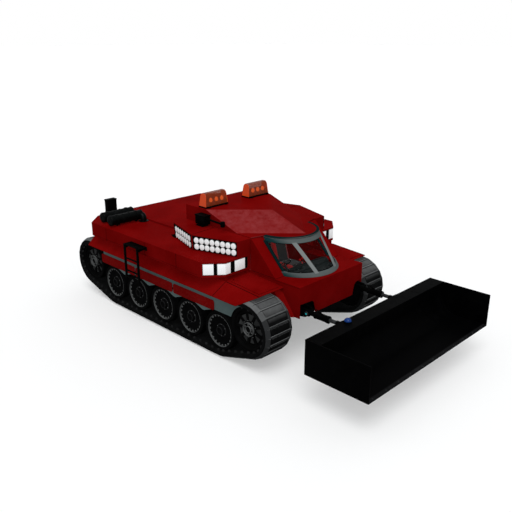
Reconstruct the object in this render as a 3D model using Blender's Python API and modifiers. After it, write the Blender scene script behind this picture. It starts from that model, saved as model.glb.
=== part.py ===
"""Tracked snow groomer with a front bucket blade: a Blender model of separate pieces.

Metres, +X forward, +Y left, +Z up. Inside this file x is counted from the rear road wheel's
axle and y from the middle plane between the tracks; MIDDLE moves it all so that the origin
lies under the middle of the whole machine, on the ground.
"""
import math

import bmesh
import bpy
from mathutils import Matrix, Vector

for old in list(bpy.data.objects):
    bpy.data.objects.remove(old, do_unlink=True)

# General gaps
GAP = 0.0003            # between pieces that touch
SHEET = 0.016           # hull sheet
PLATE = 0.022           # frame plate

# Running gear
ROAD_X = (0.0, 1.0, 2.0, 3.0, 4.0)
ROAD_Z = 0.595
REAR_Z, FRONT_Z = 0.922, 0.919
END_BELT_R = 0.632
BELT_T = 0.150
BELT_GAP = 0.0004
BEND_EASE = 0.0016       # the belt's inside stands this much further out where it bends
ROAD_R = ROAD_Z - BELT_T - BELT_GAP
END_R = END_BELT_R - BELT_T - BELT_GAP
FRONT_SPACE, REAR_SPACE = 0.005, 0.119   # from the end wheels to the nearest road wheels
FRONT_X = ROAD_X[-1] + math.sqrt((ROAD_R + END_R + FRONT_SPACE) ** 2 - (FRONT_Z - ROAD_Z) ** 2)
REAR_X = ROAD_X[0] - math.sqrt((ROAD_R + END_R + REAR_SPACE) ** 2 - (REAR_Z - ROAD_Z) ** 2)
BELT_TOP = FRONT_Z + END_BELT_R
TRACK_OUT, TRACK_IN = 2.023, 1.248
SHOE_CHAMFER = 0.084
SHOES = 78
GROOVE = 0.040
WHEEL_FACE = 1.955
AXLE_R = 0.06

# Tub between the tracks
TUB_Y = 1.20
TUB_LOW, TUB_TOP = 0.70, BELT_TOP + 0.139
TUB_REAR, TUB_FRONT = REAR_X - 0.307, FRONT_X + 0.177
CAB_REAR = 3.05

# Nose and cab
NOSE_Y = 1.065
NOSE_FRONT = 5.497
NOSE_LOW, NOSE_TOP = 1.075, BELT_TOP + 0.215
WALL_X = 4.070
FENDER_Z = BELT_TOP + 0.164
FENDER_TIP_Z = BELT_TOP + 0.104
FENDER_Y = TRACK_OUT - 0.223
APRON_Y, APRON_Z = TRACK_OUT + 0.107, BELT_TOP - 0.089
APRON_FRONT, FENDER_FRONT = FRONT_X - 0.170, FRONT_X + 0.177
FENDER_SKIN = 0.014
HATCH_X = (WALL_X + 0.100, FENDER_FRONT - 0.090)
HATCH_Y = (1.170, FENDER_Y - 0.100)
HATCH_RIM = 0.020
SILL_Z = FENDER_Z + 0.095

# Deck, upper block and roof
DECK_Z = SILL_Z + 0.340
DECK_Y = TRACK_OUT + 0.167
DECK_REAR = -0.930
BLOCK_Z = DECK_Z + 0.350
ROOF_Z = BLOCK_Z + 0.360
ROOF_Y = 1.060
ROOF_REAR = 1.910
LID_REAR, LID_FRONT, LID_Y = -0.700, 1.820, 1.040

# Windscreen: a ruled bubble between a low arc and a high arc
LOW_ARC = (4.580, 0.850, NOSE_TOP)
HIGH_ARC = (4.120, 0.740, BLOCK_Z - SHEET)
RING = 0.085 / (HIGH_ARC[2] - LOW_ARC[2])   # the rings' height as a share of the bubble's
SLOPE_TOP_X = 4.085
SLOPE = 0.985

# Blade and its arms
PIVOT_X, PIVOT_Z = 5.640, 1.225
TILT_X, TILT_Z = 6.470, 1.225
ARM_Y = 0.922
PIN_R = 0.034
PIN_GAP = 0.00005
PIN_SIDES = 10
BLADE_REAR, BLADE_FRONT = 6.595, 8.032
BLADE_Y = 2.178
BLADE_LOW, BLADE_TOP = 0.680, 1.401
BLADE_FLANGE = 0.349
BLADE_T = 0.026

# Boarding ladder on the right side
LADDER_X = (1.250, 1.750)
LADDER_Y = DECK_Y + 0.205
LADDER_LOW, LADDER_TOP = 1.195, DECK_Z - 0.130
RUNGS = (1.240, 1.400, 1.700)

REAR_END = REAR_X - END_BELT_R
MIDDLE = Vector(((BLADE_FRONT + REAR_END) / 2, (DECK_Y - LADDER_Y - 0.02) / 2, 0.0))

parts = bpy.data.collections.new("snow_groomer")
cutters = bpy.data.collections.new("cutters")
bpy.context.scene.collection.children.link(parts)
bpy.context.scene.collection.children.link(cutters)


def material(name, colour, rough, metal=0.0, alpha=1.0):
    """A Principled material with one colour."""
    mat = bpy.data.materials.new(name)
    mat.use_nodes = True
    node = mat.node_tree.nodes["Principled BSDF"]
    node.inputs["Base Color"].default_value = (*colour, 1.0)
    node.inputs["Roughness"].default_value = rough
    node.inputs["Metallic"].default_value = metal
    node.inputs["Alpha"].default_value = alpha
    mat.diffuse_color = (*colour, alpha)
    return mat


RED = ((0.35, 0.006, 0.006), 0.32, 0.0)
BLACK = ((0.012, 0.012, 0.013), 0.45, 0.0)
STEEL = ((0.20, 0.22, 0.22), 0.45, 0.6)
FRAME = ((0.30, 0.34, 0.34), 0.5, 0.0)
RUBBER = ((0.02, 0.02, 0.02), 0.85, 0.0)
WHITE = ((0.9, 0.9, 0.9), 0.2, 0.0)
AMBER = ((0.9, 0.25, 0.02), 0.25, 0.0, 0.8)
GLASS = ((0.6, 0.7, 0.7), 0.05, 0.0, 0.25)
SEAT = ((0.30, 0.01, 0.01), 0.8, 0.0)


def finish(bm, name, look=None, at=(0, 0, 0)):
    """Turn a bmesh in machine coordinates into an object whose origin is at a point."""
    at = Vector(at)
    bmesh.ops.translate(bm, verts=bm.verts, vec=-at)
    bmesh.ops.recalc_face_normals(bm, faces=bm.faces)
    mesh = bpy.data.meshes.new(name)
    bm.to_mesh(mesh)
    bm.free()
    obj = bpy.data.objects.new(name, mesh)
    obj.location = at - MIDDLE
    if look:
        mesh.materials.append(material(name, *look))
        parts.objects.link(obj)
    else:
        cutters.objects.link(obj)
        obj.hide_render = True
        obj.display_type = "WIRE"
    return obj


def hull(points):
    """The convex solid round a set of points."""
    bm = bmesh.new()
    for p in points:
        bm.verts.new(p)
    out = bmesh.ops.convex_hull(bm, input=bm.verts)
    spare = {v for v in out["geom_interior"] + out["geom_unused"] if isinstance(v, bmesh.types.BMVert)}
    bmesh.ops.delete(bm, geom=list(spare), context="VERTS")
    bmesh.ops.dissolve_limit(bm, angle_limit=0.002, verts=bm.verts, edges=bm.edges)
    return bm


def box(x0, x1, y0, y1, z0, z1):
    """A plain block between two corners."""
    return hull([(x, y, z) for x in (x0, x1) for y in (y0, y1) for z in (z0, z1)])


def prism(profile, low, high, axis="Y"):
    """A flat outline run along an axis: (x, z) along Y, (x, y) along Z, (y, z) along X."""
    place = {"Y": lambda a, b, t: (a, t, b), "Z": lambda a, b, t: (a, b, t), "X": lambda a, b, t: (t, a, b)}[axis]
    bm = bmesh.new()
    rings = [[bm.verts.new(place(a, b, t)) for a, b in profile] for t in (low, high)]
    count = len(profile)
    bm.faces.new(rings[0])
    bm.faces.new(rings[1][::-1])
    for i in range(count):
        j = (i + 1) % count
        bm.faces.new((rings[0][j], rings[0][i], rings[1][i], rings[1][j]))
    return bm


def loft(sections):
    """A closed solid through rings of equal point count."""
    bm = bmesh.new()
    rings = [[bm.verts.new(p) for p in ring] for ring in sections]
    count = len(sections[0])
    for a, b in zip(rings, rings[1:]):
        for i in range(count):
            j = (i + 1) % count
            bm.faces.new((a[i], a[j], b[j], b[i]))
    bm.faces.new(rings[0][::-1])
    bm.faces.new(rings[-1])
    return bm


def rod(p0, p1, radius, sides=16, roll=0.0):
    """A round bar from one point to another, rolled about its own axis."""
    p0, p1 = Vector(p0), Vector(p1)
    bm = bmesh.new()
    bmesh.ops.create_cone(bm, cap_ends=True, segments=sides, radius1=radius, radius2=radius, depth=(p1 - p0).length)
    turn = (p1 - p0).to_track_quat("Z", "Y").to_matrix().to_4x4() @ Matrix.Rotation(roll, 4, "Z")
    bmesh.ops.transform(bm, matrix=Matrix.Translation((p0 + p1) / 2) @ turn, verts=bm.verts)
    return bm


def bore(p0, p1, radius, sides=16):
    """A round hole's cutter, whose flats stand outside the given radius and face a pin's corners."""
    return rod(p0, p1, radius / math.cos(math.pi / sides), sides, math.pi / sides)


def inset(outline, distances):
    """A flat outline with each edge moved inwards by its own distance; the outline turns left."""
    lines = []
    for i, (x, y) in enumerate(outline):
        nx, ny = outline[(i + 1) % len(outline)]
        along = Vector((nx - x, ny - y)).normalized()
        inward = Vector((-along.y, along.x))
        lines.append((Vector((x, y)) + inward * distances[i], along))
    corners = []
    for i, (p, u) in enumerate(lines):
        q, v = lines[i - 1]
        t = ((p - q).x * u.y - (p - q).y * u.x) / (v.x * u.y - v.y * u.x)
        corners.append(tuple(q + v * t))
    return corners


def boolean(obj, bm, operation):
    """Add one exact Boolean with a helper solid given in machine coordinates."""
    helper = finish(bm, f"{obj.name}_{operation.lower()}_{len(obj.modifiers)}")
    mod = obj.modifiers.new(helper.name, "BOOLEAN")
    mod.object = helper
    mod.operation = operation
    mod.solver = "EXACT"


def cut(obj, *solids):
    """Take solids out of an object."""
    for bm in solids:
        boolean(obj, bm, "DIFFERENCE")


def join(obj, *solids):
    """Weld solids on to an object."""
    for bm in solids:
        boolean(obj, bm, "UNION")


def add(bm, other):
    """Put a second solid into the same bmesh as a loose piece."""
    mesh = bpy.data.meshes.new("loose")
    other.to_mesh(mesh)
    other.free()
    bm.from_mesh(mesh)
    bpy.data.meshes.remove(mesh)


def mirror_y(points):
    """The same points on the other side of the middle plane."""
    return [(p[0], -p[1], *p[2:]) for p in points]


def track_path(count):
    """Points and outward directions at equal steps round the belt, with a flag where it bends."""
    circles = [(ROAD_X[0], ROAD_Z, ROAD_Z), (ROAD_X[-1], ROAD_Z, ROAD_Z),
               (FRONT_X, FRONT_Z, END_BELT_R), (REAR_X, REAR_Z, END_BELT_R)]
    normals = []
    for (ax, az, ar), (bx, bz, br) in zip(circles, circles[1:] + circles[:1]):
        span = Vector((bx - ax, bz - az))
        along = span.normalized()
        lean = math.asin((ar - br) / span.length)
        out = Vector((along.y, -along.x)) * math.cos(lean) + along * math.sin(lean)
        normals.append(out)
    runs = []
    for i, (cx, cz, radius) in enumerate(circles):
        a0 = math.atan2(normals[i - 1].y, normals[i - 1].x)
        a1 = math.atan2(normals[i].y, normals[i].x)
        while a1 < a0 - 1e-9:
            a1 += 2 * math.pi
        runs.append(("arc", (cx, cz, radius, a0), radius * (a1 - a0)))
        nx, nz, nr = circles[(i + 1) % len(circles)]
        start = Vector((cx, cz)) + normals[i] * radius
        end = Vector((nx, nz)) + normals[i] * nr
        runs.append(("line", (start, end, normals[i]), (end - start).length))
    total = sum(run[2] for run in runs)

    def at(s):
        s %= total
        for kind, data, length in runs:
            if s <= length:
                break
            s -= length
        if kind == "arc":
            cx, cz, radius, a0 = data
            out = Vector((math.cos(a0 + s / radius), math.sin(a0 + s / radius)))
            return Vector((cx, cz)) + out * radius, out
        start, end, out = data
        return start.lerp(end, s / length), out

    return at, total / count


def track(name, side):
    """One belt: shoes with grooves between them on the outside, chamfered ends, plain inside."""
    at, pitch = track_path(SHOES)
    deep, shy = TRACK_OUT, TRACK_IN
    bm = bmesh.new()

    def vert(point, out, depth, y):
        q = point - out * depth
        return bm.verts.new((q.x, side * y, q.y))

    loops = {key: [] for key in ("top_out", "top_in", "rim_out", "rim_in", "in_out", "in_in")}
    turned = True
    for i in range(SHOES):
        for key, y in (("top_out", deep - SHOE_CHAMFER), ("top_in", shy + SHOE_CHAMFER)):
            for share, depth in ((0.0, GROOVE), (0.08, 0.0), (0.92, 0.0)):
                point, out = at((i + share) * pitch)
                loops[key].append(vert(point, out, depth, y))
        point, out = at(i * pitch)
        for key, y in (("rim_out", deep), ("rim_in", shy)):
            loops[key].append(vert(point, out, 0.062, y))
        bends = (at((i + 0.999) * pitch)[1] - out).length > 1e-3
        for share in ((0.0, 0.5) if bends else (0.0,)):
            point, out = at((i + share) * pitch)
            depth = BELT_T - (BEND_EASE if bends or turned else 0.0)
            for key, y in (("in_out", deep), ("in_in", shy)):
                loops[key].append((vert(point, out, depth, y), i, share))
        turned = bends
    for i in range(SHOES):
        j = (i + 1) % SHOES
        a, b = loops["top_out"], loops["top_in"]
        for k in range(3):
            p, q = 3 * i + k, (3 * i + k + 1) % (3 * SHOES)
            bm.faces.new((a[p], a[q], b[q], b[p]))
        for top, rim in (("top_out", "rim_out"), ("top_in", "rim_in")):
            t, r = loops[top], loops[rim]
            g0, g1, g2, g3 = t[3 * i], t[3 * i + 1], t[3 * i + 2], t[(3 * i + 3) % (3 * SHOES)]
            for face in ((r[i], g0, g1), (r[i], g1, g2), (r[i], g2, r[j]), (r[j], g2, g3)):
                bm.faces.new(face)
        for rim, inner in (("rim_out", "in_out"), ("rim_in", "in_in")):
            r = loops[rim]
            mids = [v for v, k, share in loops[inner] if k == i and share > 0]
            start = next(v for v, k, share in loops[inner] if k == i and share == 0)
            end = next(v for v, k, share in loops[inner] if k == j and share == 0)
            bm.faces.new([r[i], r[j], end, *mids, start])
    outer, inner = [v for v, _, _ in loops["in_out"]], [v for v, _, _ in loops["in_in"]]
    for i in range(len(outer)):
        j = (i + 1) % len(outer)
        bm.faces.new((outer[i], outer[j], inner[j], inner[i]))
    return finish(bm, name, RUBBER, (2.0, side * 1.6, 0.8))


def wheelset(name, x, z, half_profile, steps, look=BLACK):
    """Two wheels and their axle as one turned piece: radius against distance from the middle."""
    mesh = bpy.data.meshes.new(name)
    profile = half_profile + [(r, -d) for r, d in reversed(half_profile)]
    verts = [(r, 0.0, d) for r, d in profile]
    mesh.from_pydata(verts, [(i, i + 1) for i in range(len(verts) - 1)], [])
    mesh.materials.append(material(name, *look))
    obj = bpy.data.objects.new(name, mesh)
    obj.location = Vector((x, 0.0, z)) - MIDDLE
    obj.rotation_euler = (math.radians(90), 0.0, 0.0)
    parts.objects.link(obj)
    mod = obj.modifiers.new("turn", "SCREW")
    mod.axis = "Z"
    mod.steps = mod.render_steps = steps
    mod.use_merge_vertices = True
    mod.merge_threshold = 0.0001
    return obj


def bubble(theta, t, inset=0.0):
    """A point on the windscreen: angle from straight ahead, 0 at the low arc to 1 at the high arc."""
    cx = LOW_ARC[0] + (HIGH_ARC[0] - LOW_ARC[0]) * t
    radius = LOW_ARC[1] + (HIGH_ARC[1] - LOW_ARC[1]) * t - inset
    z = LOW_ARC[2] + (HIGH_ARC[2] - LOW_ARC[2]) * t
    return (cx + radius * math.cos(theta), radius * math.sin(theta), z)


def arc_band(low_angle, high_angle, t0, t1, outer, inner, steps):
    """A ruled shell on the bubble, between two heights and two insets."""
    sections = []
    for i in range(steps + 1):
        f = i / steps
        a0 = math.radians(-low_angle + 2 * low_angle * f)
        a1 = math.radians(-high_angle + 2 * high_angle * f)
        b0, b1 = a0 + (a1 - a0) * t0, a0 + (a1 - a0) * t1
        sections.append([bubble(b0, t0, outer), bubble(b1, t1, outer), bubble(b1, t1, inner), bubble(b0, t0, inner)])
    return loft(sections)


def slope_x(z, back=0.0):
    """Where the cab's sloping front stands at one height."""
    return SLOPE_TOP_X + (BLOCK_Z - z) * SLOPE - back


# Tracks
track_right = track("track_right", -1)
track_left = track("track_left", 1)

# Road wheels, each pair on one axle
ROAD_PROFILE = [(0.0, 1.940), (0.085, 1.940), (0.110, 1.885), (0.265, 1.885), (0.300, WHEEL_FACE), (ROAD_R, WHEEL_FACE),
                (ROAD_R, 1.770), (0.085, 1.770), (0.085, 1.500), (ROAD_R, 1.500), (ROAD_R, 1.360), (AXLE_R, 1.360)]
for number, x in enumerate(ROAD_X, 1):
    wheelset(f"road_wheels_{number}", x, ROAD_Z, ROAD_PROFILE, 16)

# End wheels with nine tapered openings between their spokes
END_DISH = END_R - 0.0966
END_PROFILE = [(0.0, 1.935), (0.105, 1.935), (0.130, 1.900), (END_DISH, 1.900), (END_DISH + 0.020, WHEEL_FACE), (END_R, WHEEL_FACE),
               (END_R, 1.780), (END_DISH, 1.860), (0.085, 1.860), (0.085, 1.500), (END_R, 1.500), (END_R, 1.380),
               (AXLE_R, 1.380)]
SPOKES, SPOKE_TURN = 9, 3.0
WINDOW = ((0.45, 9.0), (0.92, 13.0))    # share of the dish's radius, half width in degrees
for name, x, z in (("front_wheels", FRONT_X, FRONT_Z), ("rear_wheels", REAR_X, REAR_Z)):
    wheels = wheelset(name, x, z, END_PROFILE, 18)
    for side in (-1, 1):
        windows = bmesh.new()
        for k in range(SPOKES):
            turns = [(END_DISH * share, SPOKE_TURN + 360 * k / SPOKES + sign * half)
                     for (share, half), signs in zip(WINDOW, ((1, -1), (-1, 1))) for sign in signs]
            plan = [(x + r * math.cos(math.radians(a)), z + r * math.sin(math.radians(a))) for r, a in turns]
            add(windows, prism(plan, *sorted((side * 1.83, side * 1.93))))
        cut(wheels, windows)

# Tub: a trough of plate that carries the axles
tub_side = [(TUB_REAR, TUB_TOP), (TUB_REAR, 1.02), (TUB_REAR + 0.32, TUB_LOW), (TUB_FRONT - 0.35, TUB_LOW), (TUB_FRONT, 1.00),
            (TUB_FRONT, NOSE_LOW - GAP), (CAB_REAR - 0.02, NOSE_LOW - GAP), (CAB_REAR - 0.02, TUB_TOP)]
tub = finish(prism(tub_side, -TUB_Y, TUB_Y), "tub", FRAME, (2.0, 0.0, 1.0))
inner_tub = [(TUB_REAR + PLATE, TUB_TOP + 0.2), (TUB_REAR + PLATE, 1.03), (TUB_REAR + 0.33, TUB_LOW + PLATE),
             (TUB_FRONT - 0.36, TUB_LOW + PLATE),
             (TUB_FRONT - PLATE, 1.01), (TUB_FRONT - PLATE, NOSE_LOW + 0.2), (CAB_REAR - 0.02 - PLATE, NOSE_LOW + 0.2),
             (CAB_REAR - 0.02 - PLATE, TUB_TOP + 0.2)]
cut(tub, prism(inner_tub, -TUB_Y + PLATE, TUB_Y - PLATE))
for x, z in [(x, ROAD_Z) for x in ROAD_X] + [(FRONT_X, FRONT_Z), (REAR_X, REAR_Z)]:
    if z < TUB_LOW + 0.08:
        join(tub, box(x - 0.16, x + 0.16, -TUB_Y, -TUB_Y + 0.08, ROAD_Z - 0.11, TUB_LOW + 0.01),
             box(x - 0.16, x + 0.16, TUB_Y - 0.08, TUB_Y, ROAD_Z - 0.11, TUB_LOW + 0.01))
    cut(tub, bore((x, -1.4, z), (x, 1.4, z), AXLE_R + GAP, 8))

# Engine block inside the tub
engine = finish(box(0.15, 1.55, -0.42, 0.42, TUB_LOW + PLATE + GAP, 1.560), "engine", STEEL, (0.85, 0.0, 1.1))

def lid_z(x):
    """Height of the fender's flat front panel."""
    return FENDER_Z + (FENDER_TIP_Z - FENDER_Z) * (x - WALL_X) / (FENDER_FRONT - WALL_X)


# Fenders with aprons, one on each side
for tag, s in (("right", -1), ("left", 1)):
    top_in = NOSE_Y + GAP
    points = lambda x, y, z: (x, s * y, z)
    upper = [points(DECK_REAR, top_in, FENDER_Z), points(DECK_REAR, FENDER_Y, FENDER_Z), points(-0.86, APRON_Y, APRON_Z),
             points(APRON_FRONT, APRON_Y, APRON_Z), points(FENDER_FRONT, FENDER_Y, FENDER_TIP_Z), points(FENDER_FRONT, top_in, FENDER_TIP_Z),
             points(WALL_X, top_in, FENDER_Z), points(WALL_X, FENDER_Y, FENDER_Z)]
    solid = bmesh.new()
    rings = []
    for drop in (0.0, FENDER_SKIN):
        rings.append([solid.verts.new((x, y, z - drop)) for x, y, z in upper])
    faces = [(0, 1, 7, 6), (1, 2, 3, 7), (7, 3, 4), (6, 7, 4, 5)]
    for f in faces:
        solid.faces.new([rings[0][i] for i in f])
        solid.faces.new([rings[1][i] for i in reversed(f)])
    rim = [0, 1, 2, 3, 4, 5, 6]
    for i, j in zip(rim, rim[1:] + rim[:1]):
        solid.faces.new((rings[0][j], rings[0][i], rings[1][i], rings[1][j]))
    fender = finish(solid, f"fender_{tag}", RED, (2.0, s * 1.6, FENDER_Z))
    for rail in (NOSE_Y + 0.035, FENDER_Y - 0.080):
        a, b = sorted((s * rail, s * (rail + 0.060)))
        join(fender, box(DECK_REAR + 0.02, WALL_X - 0.02, a, b, FENDER_Z - 0.005, SILL_Z - GAP))
    a, b = sorted(s * y for y in HATCH_Y)
    cut(fender, box(*HATCH_X, a, b, FENDER_TIP_Z - 0.15, FENDER_Z + 0.10))
    rim_x, rim_y = ((low - HATCH_RIM, high + HATCH_RIM) for low, high in (HATCH_X, HATCH_Y))
    lid = finish(hull([(x, s * y, lid_z(x) + h) for x in rim_x for y in rim_y for h in (GAP, FENDER_SKIN)]), f"fender_lid_{tag}", RED,
                 (rim_x[0] - 0.015, s * sum(HATCH_Y) / 2, lid_z(rim_x[0] - 0.015) + 0.018))

# Nose shell and cab tub
nose = finish(box(CAB_REAR, NOSE_FRONT, -NOSE_Y, NOSE_Y, NOSE_LOW, NOSE_TOP), "nose_shell", RED, (4.3, 0.0, 1.4))
cut(nose, box(CAB_REAR + SHEET, NOSE_FRONT - SHEET, -NOSE_Y + SHEET, NOSE_Y - SHEET, NOSE_LOW + SHEET, NOSE_TOP - SHEET),
    box(CAB_REAR + SHEET, WALL_X + 0.02, -NOSE_Y + SHEET, NOSE_Y - SHEET, NOSE_TOP - 0.27, NOSE_TOP + 0.2))
screen_hole = [(WALL_X - 0.1, -0.74), (4.72, -0.74)]
for i in range(13):
    a = math.radians(-68 + 136 * i / 12)
    screen_hole.append((LOW_ARC[0] + 0.79 * math.cos(a), 0.79 * math.sin(a)))
screen_hole += [(4.72, 0.74), (WALL_X - 0.1, 0.74)]
cut(nose, prism(screen_hole, NOSE_TOP - 0.1, NOSE_TOP + 0.1, "Z"))
RECESS_OUT = NOSE_Y - SHEET
for s, recess_in in ((-1, 0.600), (1, 0.800)):
    recess = [(s * (recess_in + 0.060), 1.365), (s * recess_in, 1.310), (s * (recess_in - 0.085), 1.000), (s * RECESS_OUT, 1.000),
              (s * RECESS_OUT, 1.385)]
    cut(nose, prism(recess, NOSE_FRONT - 0.17, NOSE_FRONT + 0.1, "X"))

# Cheeks beside the nose, over the tub's edge
for s in (-1, 1):
    root = NOSE_Y - 0.004
    join(nose, hull([(x, s * y, z) for x in (CAB_REAR,) for y in (root, TUB_Y) for z in (NOSE_LOW, TUB_TOP)] +
                    [(FRONT_X - 0.013, s * y, TUB_TOP - 0.090) for y in (root, TUB_Y)] +
                    [(NOSE_FRONT - 0.467, s * root, TUB_TOP - 0.160), (NOSE_FRONT - 0.127, s * root, NOSE_LOW),
                     (NOSE_FRONT - 0.567, s * TUB_Y, TUB_TOP - 0.160), (NOSE_FRONT - 0.247, s * TUB_Y, NOSE_LOW)]))

# Cab front: sloping pillars, side triangles and the window opening
low, high = NOSE_TOP + GAP, BLOCK_Z - SHEET
cab = finish(prism([(WALL_X + GAP, low), (slope_x(low), low), (slope_x(high), high), (WALL_X + GAP, high)], -ROOF_Y, ROOF_Y),
             "cab_front", RED, (4.3, 0.0, 2.1))
cut(cab, prism([(WALL_X - 0.3, low - 0.1), (slope_x(low - 0.1, 0.035), low - 0.1), (slope_x(high + 0.2, 0.035), high + 0.2),
                (WALL_X - 0.3, high + 0.2)],
               -ROOF_Y + 0.022, ROOF_Y - 0.022),
    box(WALL_X - 0.2, 5.2, -0.715, 0.715, low + 0.045, high - 0.055))

# Windscreen frame and glass
frame = finish(arc_band(73, 89, 0.0004, RING, 0.0, 0.050, 16), "windscreen_frame", FRAME, (4.9, 0.0, 2.1))
join(frame, arc_band(73, 89, 1 - RING, 0.9996, 0.0, 0.050, 16))
for s in (-1, 1):
    mullion = []
    for share in (0.0, 0.33, 0.67, 1.0):
        t = 0.09 + 0.82 * share
        radius = LOW_ARC[1] + (HIGH_ARC[1] - LOW_ARC[1]) * t
        a, b = (math.asin(s * (0.310 + 0.135 * share + w) / radius) for w in (-0.045, 0.045))
        mullion.append([bubble(a, t, -0.004), bubble(b, t, -0.004), bubble(b, t, 0.0195), bubble(a, t, 0.0195)])
    join(frame, loft(mullion))
    side_bar = []
    for z in (NOSE_TOP + 0.069, BLOCK_Z - 0.085):
        for y in (0.7155, 0.790):
            for back in (-0.0003, -0.045):
                side_bar.append((slope_x(z, back), s * y, z))
    join(frame, hull(side_bar))
glass = finish(arc_band(64, 77, RING + 0.001, 1 - RING - 0.001, 0.0240, 0.0320, 16), "windscreen", GLASS, (4.9, 0.0, 2.1))

# Cab inside: floor block, two seats and the console
floor_top = NOSE_LOW + SHEET + 0.080
floor = finish(box(CAB_REAR + SHEET + GAP, 5.20, -NOSE_Y + SHEET + GAP, NOSE_Y - SHEET - GAP, NOSE_LOW + SHEET + GAP, floor_top),
               "cab_floor", BLACK, (4.1, 0.0, floor_top))
for tag, y in (("right", -0.44), ("left", 0.44)):
    seat = finish(box(3.62, 4.16, y - 0.26, y + 0.26, floor_top + 0.22, floor_top + 0.38), f"seat_{tag}", SEAT, (3.9, y, floor_top + GAP))
    join(seat, box(3.72, 4.04, y - 0.18, y + 0.18, floor_top + GAP, floor_top + 0.23),
         hull([(x, yy, z) for yy in (y - 0.26, y + 0.26) for x, z in
               ((3.52, floor_top + 0.26), (3.68, floor_top + 0.26), (3.36, floor_top + 0.98), (3.49, floor_top + 0.98))]),
         hull([(x, yy, z) for yy in (y - 0.15, y + 0.15) for x, z in
               ((3.36, floor_top + 0.96), (3.47, floor_top + 0.96), (3.32, floor_top + 1.14), (3.42, floor_top + 1.14))]))
console = finish(hull([(x, y, z) for y in (-0.70, 0.70) for x, z in
                       ((4.72, floor_top + GAP), (5.05, floor_top + GAP), (4.62, NOSE_TOP - 0.026), (5.16, NOSE_TOP - 0.026))]),
                 "console", BLACK, (4.9, 0.0, 1.4))

# Deck body over the tracks: hollow, open under the middle, over the engine and into the cab
corners = [(DECK_REAR, -FENDER_Y + 0.060), (-0.500, -DECK_Y), (3.730, -DECK_Y), (WALL_X, -FENDER_Y)]
outline = corners + mirror_y(corners)[::-1]
deck = finish(prism(outline, SILL_Z, DECK_Z, "Z"), "deck", RED, (1.5, 0.0, DECK_Z))
inside = [(DECK_REAR + SHEET, -FENDER_Y + 0.067), (-0.493, -DECK_Y + SHEET), (3.722, -DECK_Y + SHEET), (WALL_X - SHEET, -FENDER_Y + 0.008)]
hollow = inside + mirror_y(inside)[::-1]
cut(deck, prism(hollow, SILL_Z + SHEET, DECK_Z - SHEET, "Z"),
    box(DECK_REAR + 0.06, CAB_REAR - 0.04, -1.05, 1.05, SILL_Z - 0.1, SILL_Z + 0.1),
    box(LID_REAR + 0.03, LID_FRONT - 0.03, -LID_Y + 0.03, LID_Y - 0.03, DECK_Z - 0.1, DECK_Z + 0.1),
    box(CAB_REAR - 0.06, WALL_X + 0.2, -NOSE_Y - GAP, NOSE_Y + GAP, SILL_Z - 0.1, DECK_Z + 0.1))
BAY_LOW, BAY_HIGH = SILL_Z + 0.045, DECK_Z - 0.035
BAY_IN = 1.130
LAMP_DEPTH = 0.100
for s in (-1, 1):
    bay = [(3.709, DECK_Y - 0.066), (WALL_X - 0.060, FENDER_Y - 0.020), (WALL_X - 0.060, BAY_IN), (WALL_X + 0.2, BAY_IN),
           (WALL_X + 0.2, DECK_Y + 0.110), (3.905, DECK_Y + 0.104)]
    cut(deck, prism([(x, s * y) for x, y in bay], BAY_LOW, BAY_HIGH, "Z"))

# Engine cover, hinged at its front edge
lid = finish(box(LID_REAR, LID_FRONT, -LID_Y, LID_Y, DECK_Z + GAP, DECK_Z + 0.022), "engine_cover", RED, (LID_FRONT + 0.02, 0.0, DECK_Z + 0.03))

# Upper block with lamp walls
high_ring = [(1.945, -1.470), (2.970, -1.790), (4.050, -1.435), (WALL_X, -1.100)]
high_ring += mirror_y(high_ring)[::-1]
lean = [0.020, 0.010, 0.004, 0.004, 0.004, 0.010, 0.020, 0.040]
low_ring = inset(high_ring, lean)
block = finish(loft([[(x, y, DECK_Z + GAP) for x, y in low_ring], [(x, y, BLOCK_Z) for x, y in high_ring]]), "upper_block", RED,
               (3.0, 0.0, BLOCK_Z))
inner_high = inset(high_ring, [SHEET] * 8)
inner_low = inset(low_ring, [SHEET] * 8)
cut(block, loft([[(x, y, DECK_Z - 0.1) for x, y in inner_low], [(x, y, BLOCK_Z - SHEET) for x, y in inner_high]]),
    box(WALL_X - 0.3, WALL_X + 0.2, -ROOF_Y + 0.02, ROOF_Y - 0.02, DECK_Z - 0.1, BLOCK_Z - SHEET),
    box(2.10, 3.95, -ROOF_Y + 0.12, ROOF_Y - 0.12, BLOCK_Z - 0.1, BLOCK_Z + 0.1))

# Roof: a raised wedge with a brow over the windscreen
low = BLOCK_Z + GAP
roof_points = [(ROOF_REAR, -ROOF_Y, low), (3.690, -ROOF_Y, low), (ROOF_REAR, -ROOF_Y, ROOF_Z), (2.620, -ROOF_Y, ROOF_Z)]
roof = finish(hull(roof_points + mirror_y(roof_points) + [(4.770, 0.0, low), (3.700, 0.0, ROOF_Z)]), "roof", RED, (3.0, 0.0, ROOF_Z))
brow = [(3.600, -1.060), (WALL_X, -1.060)]
for i in range(17):
    a = math.radians(-88 + 176 * i / 16)
    brow.append((HIGH_ARC[0] + 0.745 * math.cos(a), 0.745 * math.sin(a)))
brow += [(WALL_X, 1.060), (3.600, 1.060)]
join(roof, prism(brow, low, low + 0.020, "Z"))
inner_roof = [(ROOF_REAR + SHEET, -ROOF_Y + SHEET, low - 0.1), (3.690, -ROOF_Y + SHEET, low - 0.1), (ROOF_REAR + SHEET, -ROOF_Y + SHEET, ROOF_Z - SHEET),
              (2.600, -ROOF_Y + SHEET, ROOF_Z - SHEET), (3.640, -ROOF_Y + SHEET, low)]
cut(roof, hull(inner_roof + mirror_y(inner_roof) + [(4.700, 0.0, low), (4.700, 0.0, low - 0.1), (3.670, 0.0, ROOF_Z - SHEET)]))

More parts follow.
